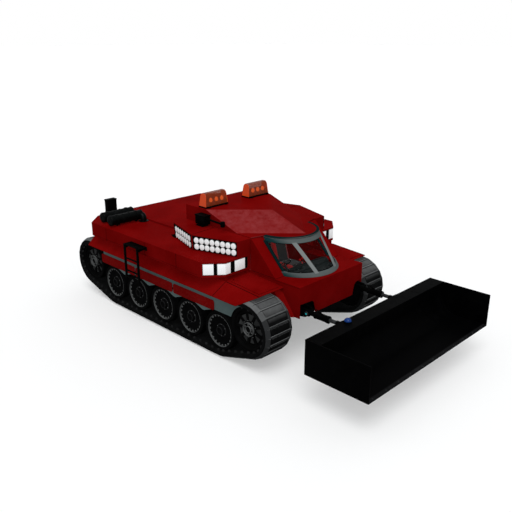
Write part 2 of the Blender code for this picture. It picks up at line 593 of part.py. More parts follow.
# Lamp panels round the upper block's side and front walls, each with two rows of lamps
LAMP_T, LAMP_RISE = 0.020, 0.018
LAMP_R, LAMP_PITCH, ROW_UP = 0.069, 0.1307, 0.0705
LAMP_WALLS = ((7, 0.030), (8, 0.032))    # lamps in a row, how far their middle stands from the wall's
for tag, s in (("right", -1), ("left", 1)):
    sections = []
    for v in (0.07, 0.95):
        z = DECK_Z + GAP + (BLOCK_Z - DECK_Z - GAP) * v
        near, far = (inset(high_ring, [d * (1 - v) - out for d in lean]) for out in (0.0008, LAMP_T))
        ring = []
        for line in (near, far):
            a, b, c = (Vector(p) for p in line[:3])
            run = [a.lerp(b, 0.04), b, b.lerp(c, 0.98)]
            ring += run if line is near else run[::-1]
        sections.append([Vector((p.x, -s * p.y, z)) for p in ring])
    panel = finish(loft(sections), f"lamp_bar_{tag}", WHITE, (3.0, s * 1.7, 2.3))
    low_run, high_run = (section[:2:-1] for section in sections)
    lamps = bmesh.new()
    for wall, (count, shift) in enumerate(LAMP_WALLS):
        ends = [run[wall + k] for run in (low_run, high_run) for k in (0, 1)]
        along = (ends[1] - ends[0]).normalized()
        upward = (ends[2] + ends[3] - ends[0] - ends[1]).normalized()
        out = along.cross(upward).normalized() * -s
        for k in range(count):
            for row in (-ROW_UP, ROW_UP):
                mid = sum(ends, Vector()) / 4 + along * (shift + (k - (count - 1) / 2) * LAMP_PITCH) + upward * row
                turns = [math.radians(60 * i + 30) for i in range(6)]
                add(lamps, loft([[mid + (along * math.cos(a) + upward * math.sin(a)) * LAMP_R + out * rise for a in turns]
                                 for rise in (-0.002, LAMP_RISE)]))
    join(panel, lamps)

# Head lamps behind the bays in the deck's front wall, bent round its corner
HEAD_LAMPS = ((-0.475, -0.246), (-0.171, 0.150), (0.266, 0.569))    # from and to, past the corner
for tag, s in (("right", -1), ("left", 1)):
    wall = [Vector(p) for p in inset(hollow, [GAP] * len(hollow))[2:4]]
    start, bend = wall[0].lerp(wall[1], 0.03), wall[1]
    face = [start, bend, Vector((bend.x, -BAY_IN + 0.020)), Vector((bend.x - LAMP_DEPTH, -BAY_IN + 0.020)),
            Vector((bend.x - LAMP_DEPTH, bend.y + 0.060)), start + Vector((-0.060, 0.070))]
    head = finish(prism([(p.x, -s * p.y) for p in face], SILL_Z + SHEET + GAP, DECK_Z - SHEET - GAP, "Z"), f"head_lamps_{tag}",
                       WHITE, (3.9, s * 1.7, 1.98))
    for d0, d1 in HEAD_LAMPS:
        strip = []
        for depth in (SHEET + 0.003, 0.004):
            side, corner, front = (Vector(p) for p in inset(outline, [depth] * len(outline))[2:5])
            place = lambda d: corner + ((front - corner) if d > 0 else (side - corner)).normalized() * abs(d)
            line = [place(d0)] + [corner] * (d0 < 0 < d1) + [place(d1)]
            strip += line[::-1] if strip else line
        join(head, prism([(p.x, -s * p.y) for p in strip], BAY_LOW + 0.008, BAY_HIGH - 0.008, "Z"))

# Beacons on the roof
BEACON = ((0.120, 0.015, 0.0353), (0.095, 0.035, 0.255), (0.055, 0.045, 0.335))   # half width, end gap, height
for tag, s in (("right", -1), ("left", 1)):
    y0, y1 = (-1.03, -0.34) if s < 0 else (0.34, 1.03)
    bar = finish(box(2.330, 2.600, y0, y1, ROOF_Z + GAP, ROOF_Z + 0.035), f"beacon_base_{tag}", BLACK, (2.465, (y0 + y1) / 2, ROOF_Z))
    beacon = finish(hull([(2.465 + side * half, y, ROOF_Z + z) for half, ease, z in BEACON for side in (-1, 1)
                          for y in (y0 + ease, y1 - ease)]), f"beacon_{tag}", AMBER, (2.465, (y0 + y1) / 2, ROOF_Z + 0.1))

# Skirts above the road wheels: three panels a side on one rail, held by brackets from the tub
SKIRTS = ((-0.490, 0.965), (1.005, 2.440), (2.480, 3.880))
SKIRT_Y, SKIRT_T = 1.970, 0.016
BRACKET_IN = 0.700      # from a panel's rear end to its bracket
for tag, s in (("right", -1), ("left", 1)):
    a, b = sorted((s * (SKIRT_Y - 0.045), s * (SKIRT_Y + 0.004)))
    skirts = finish(box(SKIRTS[0][0] + 0.1, SKIRTS[-1][1] - 0.1, a, b, 1.110, 1.170), f"skirts_{tag}", RED, (2.0, s * SKIRT_Y, 1.16))
    for x0, x1 in SKIRTS:
        a, b = sorted((s * SKIRT_Y, s * (SKIRT_Y + SKIRT_T)))
        join(skirts, box(x0, x1, a, b, 1.045, 1.275))
        a, b = sorted((s * (TUB_Y + GAP), s * (SKIRT_Y - 0.020)))
        join(skirts, box(x0 + BRACKET_IN - 0.04, x0 + BRACKET_IN + 0.04, a, b, 1.090, 1.190))

# Exhaust: two mufflers across the right rear deck and one elbow
PIPE_Z = DECK_Z + 0.150
exhaust = finish(rod((-0.20, -2.06, PIPE_Z), (-0.20, -1.16, PIPE_Z), 0.130, 16), "exhaust", BLACK, (0.1, -1.6, PIPE_Z))
join(exhaust, rod((0.20, -2.10, PIPE_Z), (0.20, -1.16, PIPE_Z), 0.130, 16), box(-0.20, 0.20, -1.95, -1.20, PIPE_Z - 0.05, PIPE_Z + 0.05),
     rod((0.20, -1.20, PIPE_Z), (0.20, -1.12, PIPE_Z), 0.085, 12), rod((0.33, -1.19, DECK_Z + GAP), (0.33, -1.19, PIPE_Z), 0.085, 12),
     rod((0.20, -1.19, PIPE_Z), (0.34, -1.19, PIPE_Z), 0.085, 12), box(-0.05, 0.05, -1.9, -1.8, DECK_Z + GAP, PIPE_Z))

# Air intake box behind the exhaust
intake = finish(box(-0.780, -0.620, -1.610, -1.320, DECK_Z + GAP, DECK_Z + 0.445), "intake", BLACK, (-0.7, -1.465, DECK_Z))

# Work camera on the upper block
arm_z = BLOCK_Z + 0.190
camera_unit = finish(box(2.480, 2.720, -1.250, -1.080, BLOCK_Z + GAP, BLOCK_Z + 0.260), "work_camera", BLACK, (2.6, -1.165, BLOCK_Z))
join(camera_unit, rod((2.70, -1.160, arm_z), (3.350, -1.210, arm_z), 0.030, 10),
     rod((3.35, -1.21, arm_z - 0.060), (3.35, -1.21, arm_z + 0.060), 0.055, 12))

# Ladder
ladder = finish(box(LADDER_X[0] - 0.03, LADDER_X[1] + 0.10, -LADDER_Y - 0.02, -DECK_Y - GAP, LADDER_TOP, LADDER_TOP + 0.030), "ladder", BLACK,
                (1.5, -2.3, LADDER_TOP))
for x in LADDER_X:
    join(ladder, box(x - 0.025, x + 0.025, -LADDER_Y - 0.020, -LADDER_Y + 0.020, LADDER_LOW, LADDER_TOP + 0.01))
for z in RUNGS:
    join(ladder, rod((LADDER_X[0], -LADDER_Y, z), (LADDER_X[1], -LADDER_Y, z), 0.016, 10))
join(ladder, box(LADDER_X[0] - 0.03, LADDER_X[1] + 0.10, -DECK_Y - 0.030, -DECK_Y - GAP, LADDER_TOP - 0.060, LADDER_TOP + 0.010))

# Lift frame: cross beam in the nose with two pairs of ears
lift = finish(box(NOSE_FRONT - 0.165, NOSE_FRONT - 0.075, -NOSE_Y + 0.03, NOSE_Y - 0.03, NOSE_LOW + SHEET + GAP, 1.325), "lift_frame", BLACK,
              (5.4, 0.0, 1.2))
ARM_HALF = 0.055
for s in (-1, 1):
    for y in (ARM_Y - ARM_HALF - 0.007 - 0.030, ARM_Y + ARM_HALF + 0.007):
        a, b = sorted((s * y, s * (y + 0.030)))
        join(lift, prism([(NOSE_FRONT - 0.10, 1.100), (PIVOT_X - 0.03, 1.140), (PIVOT_X + 0.045, 1.190), (PIVOT_X + 0.045, 1.265),
                          (PIVOT_X - 0.03, 1.320), (NOSE_FRONT - 0.10, 1.325)], a, b))
    a, b = sorted((s * (ARM_Y - ARM_HALF - 0.050), s * (ARM_Y + ARM_HALF + 0.050)))
    join(lift, rod((PIVOT_X, a, PIVOT_Z), (PIVOT_X, b, PIVOT_Z), PIN_R, PIN_SIDES))

# Push arms, joined by the tilt shaft behind the blade
arms = finish(rod((TILT_X, -ARM_Y - 0.14, TILT_Z), (TILT_X, ARM_Y + 0.14, TILT_Z), PIN_R, PIN_SIDES), "push_arms", BLACK, (PIVOT_X, 0.0, PIVOT_Z))
for s in (-1, 1):
    join(arms, rod((PIVOT_X, s * (ARM_Y - ARM_HALF), PIVOT_Z), (PIVOT_X, s * (ARM_Y + ARM_HALF), PIVOT_Z), 0.075, 12),
         rod((TILT_X, s * (ARM_Y - ARM_HALF), TILT_Z), (TILT_X, s * (ARM_Y + ARM_HALF), TILT_Z), 0.070, 12),
         rod((PIVOT_X + 0.03, s * ARM_Y, PIVOT_Z), (TILT_X - 0.03, s * ARM_Y, TILT_Z), 0.052, 8),
         rod((PIVOT_X + 0.15, s * ARM_Y, PIVOT_Z), (TILT_X - 0.30, s * ARM_Y, TILT_Z), 0.078, 12))
    cut(arms, bore((PIVOT_X, s * (ARM_Y - 0.2), PIVOT_Z), (PIVOT_X, s * (ARM_Y + 0.2), PIVOT_Z), PIN_R + PIN_GAP, PIN_SIDES))

# Blade: a wide open bucket with flat ends and a curved back
back = [(BLADE_REAR, BLADE_LOW), (BLADE_FRONT, BLADE_LOW), (BLADE_FRONT, BLADE_LOW + 0.012), (BLADE_FRONT - 0.05, BLADE_LOW + BLADE_T)]
BACK_X = BLADE_REAR + BLADE_FLANGE
CURVE = 0.42
for i in range(9):
    a = math.radians(270 - 90 * i / 8)
    back.append((BACK_X + CURVE + CURVE * math.cos(a), BLADE_LOW + BLADE_T + CURVE + CURVE * math.sin(a)))
back += [(BACK_X, BLADE_TOP), (BLADE_REAR, BLADE_TOP)]
blade = finish(prism(back, -BLADE_Y, BLADE_Y), "blade", BLACK, (TILT_X, 0.0, TILT_Z))
hollow = [(BLADE_REAR - 0.1, BLADE_LOW - 0.1), (BLADE_REAR - 0.1, BLADE_TOP - BLADE_T), (BACK_X - BLADE_T, BLADE_TOP - BLADE_T)]
for i in range(7):
    a = math.radians(180 + 70 * i / 6)
    hollow.append((BACK_X + CURVE + (CURVE + BLADE_T) * math.cos(a), BLADE_LOW + BLADE_T + CURVE + (CURVE + BLADE_T) * math.sin(a)))
hollow.append((hollow[-1][0], BLADE_LOW - 0.1))
for y0, y1 in ((-BLADE_Y + BLADE_T, -1.040), (-0.800, 0.800), (1.040, BLADE_Y - BLADE_T)):
    cut(blade, prism(hollow, y0, y1))
for s in (-1, 1):
    a, b = sorted((s * (BLADE_Y - BLADE_T), s * BLADE_Y))
    join(blade, box(BLADE_REAR, BLADE_FRONT, a, b, BLADE_LOW, BLADE_TOP))
for s in (-1, 1):
    for y in (ARM_Y - ARM_HALF - 0.008 - 0.030, ARM_Y + ARM_HALF + 0.008):
        a, b = sorted((s * y, s * (y + 0.030)))
        join(blade, prism([(BLADE_REAR + 0.03, 1.10), (BLADE_REAR + 0.03, 1.36), (TILT_X - 0.02, 1.295), (TILT_X - 0.070, 1.25), (TILT_X - 0.070, 1.20),
                           (TILT_X - 0.02, 1.155)], a, b))
        cut(blade, bore((TILT_X, a - 0.02, TILT_Z), (TILT_X, b + 0.02, TILT_Z), PIN_R + PIN_GAP, PIN_SIDES))

# Blue marker lamp on the blade's top
MARKER = (6.690, -1.030)
marker = finish(rod((*MARKER, BLADE_TOP + GAP), (*MARKER, BLADE_TOP + 0.080), 0.085, 12), "marker_lamp", ((0.02, 0.12, 0.5), 0.2, 0.0),
                (*MARKER, BLADE_TOP))
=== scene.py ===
"""Dressed tracked snow groomer: finishes, belts, wheels, lamps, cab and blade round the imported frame.

Lengths are metres in the frame's axes: +X forward, +Y left, +Z up. Inside the classes x is counted
from the rearmost road wheel's axle and y from the middle plane between the belts, which is where
ORIGIN lies in the frame.
"""
import logging
import math
from dataclasses import dataclass
from enum import Enum
from typing import Iterable, Sequence

import bmesh
import bpy
from mathutils import Matrix, Vector


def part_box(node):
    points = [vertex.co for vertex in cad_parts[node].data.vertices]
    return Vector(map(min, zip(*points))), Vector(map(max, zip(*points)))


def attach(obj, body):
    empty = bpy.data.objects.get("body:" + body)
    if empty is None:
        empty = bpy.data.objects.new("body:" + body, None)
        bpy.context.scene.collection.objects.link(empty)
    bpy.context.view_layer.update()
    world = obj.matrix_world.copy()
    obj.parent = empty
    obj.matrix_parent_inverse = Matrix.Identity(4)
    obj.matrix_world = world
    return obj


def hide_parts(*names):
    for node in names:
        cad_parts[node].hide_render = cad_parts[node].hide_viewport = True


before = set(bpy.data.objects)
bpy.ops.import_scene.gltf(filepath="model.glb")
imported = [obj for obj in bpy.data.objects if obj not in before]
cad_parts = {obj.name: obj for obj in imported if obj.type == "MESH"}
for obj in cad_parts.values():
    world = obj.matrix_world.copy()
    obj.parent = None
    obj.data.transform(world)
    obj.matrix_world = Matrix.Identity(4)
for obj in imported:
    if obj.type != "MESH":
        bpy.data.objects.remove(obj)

log = logging.getLogger("snow_groomer")

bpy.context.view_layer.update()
Point = tuple[float, float, float]
Pair = tuple[float, float]
RIGHT, LEFT = -1, 1


def centre_of(node: str) -> Vector:
    """Middle of a CAD node's box."""
    low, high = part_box(node)
    return (Vector(low) + Vector(high)) / 2


ORIGIN = Vector((centre_of("road_wheels_1").x, centre_of("tub").y, 0.0))


class Body(Enum):
    """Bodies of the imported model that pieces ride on."""
    HULL = "hull"
    ARMS = "arms"
    BLADE = "bucket_blade"
    LID_RIGHT = "fender_lid_right"
    LID_LEFT = "fender_lid_left"


class Slot(Enum):
    """Material slots of the record."""
    RED = "hull_red"
    BLACK = "black_paint"
    GREY = "frame_grey"
    BELT = "belt_rubber"
    WHEEL = "wheel_black"
    LAMP = "lamp_white"
    BEACON = "beacon_orange"
    MARKER = "marker_blue"
    GLASS = "glass"
    SEAT = "seat_red"
    CAB = "cab_black"


class Wire:
    """One shader socket that takes part in Python arithmetic."""

    def __init__(self, shade: "Shade", socket: bpy.types.NodeSocket) -> None:
        """Keep the tree and the socket."""
        self.shade, self.socket = shade, socket

    def _math(self, operation: str, *values: "Wire | float", clamp: bool = False) -> "Wire":
        """Add one Math node.

        Args:
            operation: Math node operation.
            values: operands in order.
            clamp: whether the result stays between 0 and 1.

        Returns:
            The node's value.
        """
        return self.shade.add("ShaderNodeMath", {"operation": operation, "use_clamp": clamp},
                              dict(enumerate(values)))

    def __add__(self, other: "Wire | float") -> "Wire":
        """Sum."""
        return self._math("ADD", self, other)

    __radd__ = __add__

    def __sub__(self, other: "Wire | float") -> "Wire":
        """Difference."""
        return self._math("SUBTRACT", self, other)

    def __rsub__(self, other: float) -> "Wire":
        """Reflected difference."""
        return self._math("SUBTRACT", other, self)

    def __mul__(self, other: "Wire | float") -> "Wire":
        """Product."""
        return self._math("MULTIPLY", self, other)

    __rmul__ = __mul__

    def __truediv__(self, other: "Wire | float") -> "Wire":
        """Quotient."""
        return self._math("DIVIDE", self, other)

    def __gt__(self, other: "Wire | float") -> "Wire":
        """1 where this value is the larger."""
        return self._math("GREATER_THAN", self, other)

    def __lt__(self, other: "Wire | float") -> "Wire":
        """1 where this value is the smaller."""
        return self._math("LESS_THAN", self, other)

    def ramp(self, low: float, high: float) -> "Wire":
        """0 at low, 1 at high, straight between and clamped."""
        return self._math("MULTIPLY", self - low, 1.0 / (high - low), clamp=True)

    def wave(self, period: float) -> "Wire":
        """Distance from the nearest multiple of a period."""
        return self._math("PINGPONG", self, period / 2)


class Shade:
    """A material's node tree: one method adds any node, the rest name common patterns."""

    def __init__(self, name: str) -> None:
        """Start a material with a Principled surface."""
        self.material = bpy.data.materials.new(name)
        self.material.use_nodes = True
        self.tree = self.material.node_tree
        self.surface = self.tree.nodes["Principled BSDF"]
        self.place = self.add("ShaderNodeTexCoord", output="Object")

    def add(self, kind: str, settings: dict | None = None, inputs: dict | None = None,
            output: str | int = 0) -> Wire:
        """Add a node, set it up, then feed it.

        Args:
            kind: node type.
            settings: properties, set before the inputs.
            inputs: values or wires by socket name or number.
            output: name or number of the socket that is returned.

        Returns:
            The chosen output.
        """
        node = self.tree.nodes.new(kind)
        for key, value in (settings or {}).items():
            setattr(node, key, value)
        for key, value in (inputs or {}).items():
            self.feed(node.inputs[key], value)
        return Wire(self, node.outputs[output])

    def feed(self, socket: bpy.types.NodeSocket, value: "Wire | float | Sequence[float]") -> None:
        """Link a wire to a socket, or set the socket's own value."""
        if isinstance(value, Wire):
            self.tree.links.new(value.socket, socket)
        elif isinstance(value, (int, float)):
            socket.default_value = float(value)
        else:
            size = len(socket.default_value)
            socket.default_value = (*value, 1.0)[:size] if len(value) < size else tuple(value)[:size]

    def noise(self, scale: float, detail: float = 3.0, rough: float = 0.55,
              stretch: Point = (1, 1, 1)) -> Wire:
        """Smooth noise from 0 to 1 on object coordinates."""
        place = self.add("ShaderNodeMapping", None, {"Vector": self.place, "Scale": stretch})
        return self.add("ShaderNodeTexNoise", None, {"Vector": place, "Scale": scale, "Detail": detail,
                                                     "Roughness": rough})

    def axis(self, letter: str) -> Wire:
        """One object coordinate."""
        return self.add("ShaderNodeSeparateXYZ", None, {0: self.place}, letter)

    def normal_axis(self, letter: str) -> Wire:
        """One component of the surface normal."""
        normal = self.add("ShaderNodeNewGeometry", output="Normal")
        return self.add("ShaderNodeSeparateXYZ", None, {0: normal}, letter)

    def mix(self, factor: "Wire | float", low: "Wire | Sequence[float]",
            high: "Wire | Sequence[float]") -> Wire:
        """Blend of two colours."""
        return self.add("ShaderNodeMix", {"data_type": "RGBA"}, {0: factor, 6: low, 7: high}, 2)

    def bump(self, height: Wire, distance: float, strength: float = 1.0, edge: float = 0.0) -> Wire:
        """A bumped normal, on edges that the shader rounds off where an edge radius is given."""
        inputs = {"Height": height, "Distance": distance, "Strength": strength}
        if edge:
            inputs["Normal"] = self.add("ShaderNodeBevel", {"samples": 4}, {"Radius": edge})
        return self.add("ShaderNodeBump", None, inputs)

    def set(self, **values: "Wire | float | Sequence[float]") -> bpy.types.Material:
        """Feed the surface; base_color stands for Base Color and so on.

        Returns:
            The finished material.
        """
        for key, value in values.items():
            self.feed(self.surface.inputs[key.replace("_", " ").title().replace("Ior", "IOR")], value)
        return self.material


@dataclass(frozen=True)
class PaintFinish:
    """Sprayed sheet metal: even colour, slight orange peel, dust low down and dulled patches; optionally a
    painted pale reflection on faces that look forward and right, and painted shade on faces turned to the
    sides.
    """
    name: str
    colour: Point
    rough: float = 0.42
    specular: float = 0.001
    dust: float = 0.04
    dust_colour: Point = (0.16, 0.10, 0.09)
    edge: float = 0.006
    painted_sheen: float = 0.0
    painted_side_shade: Point | None = None

    def make(self) -> bpy.types.Material:
        """Build the material."""
        shade = Shade(self.name)
        cloud = shade.noise(1.3, 4.0)
        fine = shade.noise(26.0, 5.0)
        low = 1.0 - shade.axis("Z").ramp(0.5, 1.9)
        dust = (low * 0.7 + 0.15) * fine.ramp(0.42, 0.75) * self.dust
        deep = tuple(c * 0.80 for c in self.colour)
        light = tuple(min(1.0, c * 1.12 + 0.0015) for c in self.colour)
        colour = shade.mix(dust, shade.mix(cloud.ramp(0.3, 0.7), deep, light), self.dust_colour)
        # Painted reflection: a pale, mottled sheen painted on faces that look forward and to the right,
        # standing in for light reflected off them.
        if self.painted_sheen:
            slope = (shade.normal_axis("X") > 0.15) * (shade.normal_axis("Y") < -0.2)
            film = shade.noise(7.0, 6.0, 0.65).ramp(0.32, 0.72) * 0.75 + 0.25
            colour = shade.mix(slope * film * self.painted_sheen, colour, (0.235, 0.034, 0.036))
        # Painted shade: faces turned to either side are blended towards a deep colour, standing in for shade
        # on them.
        if self.painted_side_shade:
            side = shade.normal_axis("Y")
            colour = shade.mix((side * side).ramp(0.30, 0.72), colour, self.painted_side_shade)
        peel = shade.noise(150.0, 1.0) * 0.3 + shade.noise(9.0, 2.0)
        rough = cloud.ramp(0.25, 0.8) * 0.10 + (self.rough - 0.04) + dust * 0.5
        return shade.set(base_color=colour, roughness=rough, specular_ior_level=self.specular,
                         normal=shade.bump(peel, 0.0008, 0.5, self.edge))


@dataclass(frozen=True)
class SteelFinish:
    """Bare or blackened steel with rubbed patches and fine scratches along X."""
    name: str
    colour: Point
    rub: Point
    metal: float = 0.0
    rough: float = 0.42
    specular: float = 0.015
    edge: float = 0.004

    def make(self) -> bpy.types.Material:
        """Build the material."""
        shade = Shade(self.name)
        patch = shade.noise(5.0, 6.0, 0.65).ramp(0.50, 0.72)
        line = shade.noise(30.0, 2.0, stretch=(1.0, 14.0, 14.0)).ramp(0.60, 0.72)
        rubbed = patch * 0.6 + line * 0.3
        return shade.set(base_color=shade.mix(rubbed, self.colour, self.rub), metallic=self.metal,
                         specular_ior_level=self.specular, roughness=self.rough + 0.18 * patch,
                         normal=shade.bump(shade.noise(70.0, 3.0), 0.0006, 0.5, self.edge))


@dataclass(frozen=True)
class RubberFinish:
    """Worn rubber or composite: dull, grainy, pale with random dust, and optionally lighter on what faces up
    as painted top light.
    """
    name: str
    colour: Point
    dust_colour: Point
    dust: float = 0.5
    painted_top_light: float = 0.0

    def make(self) -> bpy.types.Material:
        """Build the material."""
        shade = Shade(self.name)
        grain = shade.noise(90.0, 4.0, 0.7)
        patch = shade.noise(6.0, 5.0, 0.6).ramp(0.35, 0.75)
        dust = patch * self.dust + grain.ramp(0.55, 0.8) * 0.2 * self.dust
        # Painted top light: faces that look up are blended towards the pale colour, standing in for light
        # falling on them; the random dust is kept at a quarter.
        if self.painted_top_light:
            dust = dust * 0.25 + shade.normal_axis("Z").ramp(0.44, 0.74) * (patch * 0.35 + 0.65) * self.painted_top_light
        colour = shade.mix(dust, self.colour, self.dust_colour)
        return shade.set(base_color=colour, roughness=0.62 + 0.2 * patch, specular_ior_level=0.015,
                         normal=shade.bump(grain, 0.0015, 0.6, 0.004))


@dataclass(frozen=True)
class LensFinish:
    """Lamp or beacon lens: clear colour with fine flutes, a little light of its own."""
    name: str
    colour: Point
    glow: float = 0.0
    flute: float = 0.02
    alpha: float = 1.0
    rough: float = 0.15

    def make(self) -> bpy.types.Material:
        """Build the material."""
        shade = Shade(self.name)
        flutes = shade.axis("Y").wave(self.flute) / (self.flute / 2)
        tint = shade.mix(flutes * 0.25, self.colour, tuple(c * 0.8 for c in self.colour))
        return shade.set(base_color=tint, roughness=self.rough + 0.08 * flutes, specular_ior_level=0.25,
                         alpha=self.alpha, emission_color=tint, emission_strength=self.glow,
                         normal=shade.bump(flutes, 0.001, 0.4))


@dataclass(frozen=True)
class GlassFinish:
    """Thin curved glass with a faint tint and a little road film in patches."""
    name: str
    tint: Point
    alpha: float = 0.006

    def make(self) -> bpy.types.Material:
        """Build the material."""
        shade = Shade(self.name)
        film = shade.noise(7.0, 4.0).ramp(0.5, 0.9)
        return shade.set(base_color=self.tint, roughness=0.03 + 0.12 * film, alpha=film * 0.006 + self.alpha,
                         specular_ior_level=0.30)


@dataclass(frozen=True)
class MouldedFinish:
    """Moulded plastic with a fine pebbled grain."""
    name: str
    colour: Point
    rough: float = 0.55
    grain: float = 220.0

    def make(self) -> bpy.types.Material:
        """Build the material."""
        shade = Shade(self.name)
        pebble = shade.add("ShaderNodeTexVoronoi", {"feature": "SMOOTH_F1"},
                           {"Vector": shade.place, "Scale": self.grain}, "Distance")
        cloud = shade.noise(8.0, 3.0)
        tone = shade.mix(cloud.ramp(0.3, 0.7), tuple(c * 0.85 for c in self.colour),
                         tuple(c * 1.15 for c in self.colour))
        return shade.set(base_color=tone, roughness=self.rough + 0.12 * cloud, specular_ior_level=0.15,
                         normal=shade.bump(pebble, 0.0006, 0.5, 0.003))


@dataclass(frozen=True)
class ClothFinish:
    """Woven seat cloth: crossed threads, slight fuzz and fading."""
    name: str
    colour: Point
    thread: float = 0.004

    def make(self) -> bpy.types.Material:
        """Build the material."""
        shade = Shade(self.name)
        across = shade.axis("Y").wave(self.thread) / (self.thread / 2)
        along = (shade.axis("X") + shade.axis("Z")).wave(self.thread) / (self.thread / 2)
        weave = across * along
        fade = shade.noise(5.0, 3.0).ramp(0.35, 0.7)
        tone = shade.mix(weave * 0.35 + fade * 0.2, self.colour,
                         tuple(min(1.0, c * 1.35 + 0.01) for c in self.colour))
        return shade.set(base_color=tone, roughness=0.85 + 0.1 * fade, sheen_weight=0.3, sheen_roughness=0.5,
                         normal=shade.bump(weave, 0.0012, 0.6))


HULL_RED = PaintFinish("hull red paint", (0.158, 0.0009, 0.0009))
# The roof's forward right slope carries a painted pale reflection.
ROOF_RED = PaintFinish("roof red paint", (0.158, 0.0009, 0.0009), painted_sheen=0.85)
SKIRT_RED = PaintFinish("skirt red paint", (0.150, 0.0012, 0.0012), dust=0.12)
FRAME_GREY = PaintFinish("frame grey paint", (0.085, 0.120, 0.120), dust=0.3, dust_colour=(0.11, 0.12, 0.12))
# The windscreen ring's side-facing faces get painted shade in deep teal.
FRAME_PALE = PaintFinish("windscreen ring paint", (0.086, 0.100, 0.100), dust=0.2,
                         dust_colour=(0.15, 0.16, 0.16), painted_side_shade=(0.006, 0.030, 0.031))
MULLION_PALE = PaintFinish("mullion paint", (0.165, 0.178, 0.178), dust=0.2, dust_colour=(0.22, 0.23, 0.23))
# Near-black teal: painted shade for the windscreen ring's top edge and the dark side bars.
FRAME_PAINTED_SHADE = PaintFinish("windscreen edge paint", (0.002, 0.014, 0.015), dust=0.1)
BLADE_BLACK = SteelFinish("blade black steel", (0.0005, 0.0005, 0.0006), (0.0016, 0.0016, 0.0018), rough=0.45)
EXHAUST_BLACK = SteelFinish("exhaust black", (0.0008, 0.0012, 0.0012), (0.0040, 0.0050, 0.0050),
                            specular=0.06, rough=0.32)
EDGE_STEEL = SteelFinish("edge steel", (0.006, 0.006, 0.0065), (0.020, 0.020, 0.021), metal=0.2)
ROD_STEEL = SteelFinish("rod steel", (0.030, 0.031, 0.032), (0.070, 0.072, 0.074), metal=0.6, rough=0.3,
                        specular=0.3)
SEAM_DARK = PaintFinish("seam shade", (0.0012, 0.0004, 0.0004), rough=0.7)
TRIM_BLACK = SteelFinish("trim black", (0.0008, 0.0009, 0.0009), (0.0036, 0.0037, 0.0038), rough=0.5)
PIN_STEEL = SteelFinish("pin steel", (0.040, 0.044, 0.045), (0.085, 0.090, 0.092), metal=0.3, rough=0.38)
RING_GREY = SteelFinish("ring grey metal", (0.075, 0.078, 0.078), (0.125, 0.130, 0.130), rough=0.45)
RING_DARK = SteelFinish("ring dark metal", (0.012, 0.012, 0.0125), (0.026, 0.027, 0.028), rough=0.5)
PETAL_GREY = SteelFinish("petal grey metal", (0.026, 0.027, 0.027), (0.055, 0.056, 0.057), rough=0.5)
NUT_STEEL = SteelFinish("nut metal", (0.090, 0.092, 0.092), (0.16, 0.165, 0.165), rough=0.4)
BEZEL_PALE = SteelFinish("bezel pale metal", (0.45, 0.47, 0.47), (0.60, 0.62, 0.62), rough=0.4)
BELT_RUBBER = RubberFinish("belt rubber", (0.0030, 0.0031, 0.0032), (0.010, 0.0105, 0.011))
# Shoe faces and rims: pale random dust plus painted top light on faces that look up.
SHOE_METAL = RubberFinish("shoe faces", (0.0030, 0.0032, 0.0033), (0.110, 0.113, 0.114), dust=0.1, painted_top_light=0.85)
SHOE_RIM = RubberFinish("shoe rims", (0.024, 0.025, 0.026), (0.150, 0.155, 0.156), dust=0.15, painted_top_light=0.85)
WHEEL_BLACK = RubberFinish("wheel black", (0.0014, 0.0014, 0.0015), (0.0060, 0.0062, 0.0063), dust=0.4)
CAB_MOULD = MouldedFinish("cab moulding", (0.008, 0.011, 0.011))
KNOB_RED = MouldedFinish("red knob", (0.34, 0.004, 0.004), rough=0.3)
SEAT_CLOTH = ClothFinish("seat red cloth", (0.34, 0.003, 0.003))
SEAT_MIDDLE = ClothFinish("seat dark cloth", (0.0040, 0.0042, 0.0044), thread=0.006)
LAMP_WHITE = LensFinish("lamp lens", (0.86, 0.89, 0.90), glow=0.14, flute=0.012)
HEAD_WHITE = LensFinish("head lamp lens", (0.88, 0.91, 0.92), glow=0.20, flute=0.03)
BEACON_END = LensFinish("beacon end", (0.62, 0.062, 0.012), glow=0.04, flute=0.02)
BEACON_SHELL = LensFinish("beacon shell", (0.20, 0.026, 0.003), glow=0.0, flute=0.03, alpha=0.80, rough=0.3)
BEACON_MIRROR = LensFinish("beacon reflector", (0.80, 0.11, 0.02), glow=2.4, flute=0.02)
BEACON_POST = MouldedFinish("beacon post", (0.16, 0.05, 0.055), rough=0.5)
TAIL_RED = LensFinish("tail lamp lens", (0.30, 0.004, 0.004), glow=0.05, flute=0.02)
MARKER_BLUE = LensFinish("marker lens", (0.003, 0.030, 0.160), glow=0.03, flute=0.015, alpha=0.95, rough=0.06)
CLEAR_GLASS = GlassFinish("windscreen glass", (0.05, 0.08, 0.08))
BLUE_CAP = MouldedFinish("grease cap", (0.02, 0.38, 0.42), rough=0.35)
Finish = PaintFinish | SteelFinish | RubberFinish | LensFinish | GlassFinish | MouldedFinish | ClothFinish


class Palette:
    """Keeps one material for each finish."""

    def __init__(self) -> None:
        """Start with nothing made."""
        self.made: dict[str, bpy.types.Material] = {}

    def __call__(self, finish: Finish) -> bpy.types.Material:
        """The finish's material, made at its first use."""
        if finish.name not in self.made:
            self.made[finish.name] = finish.make()
        return self.made[finish.name]


palette = Palette()


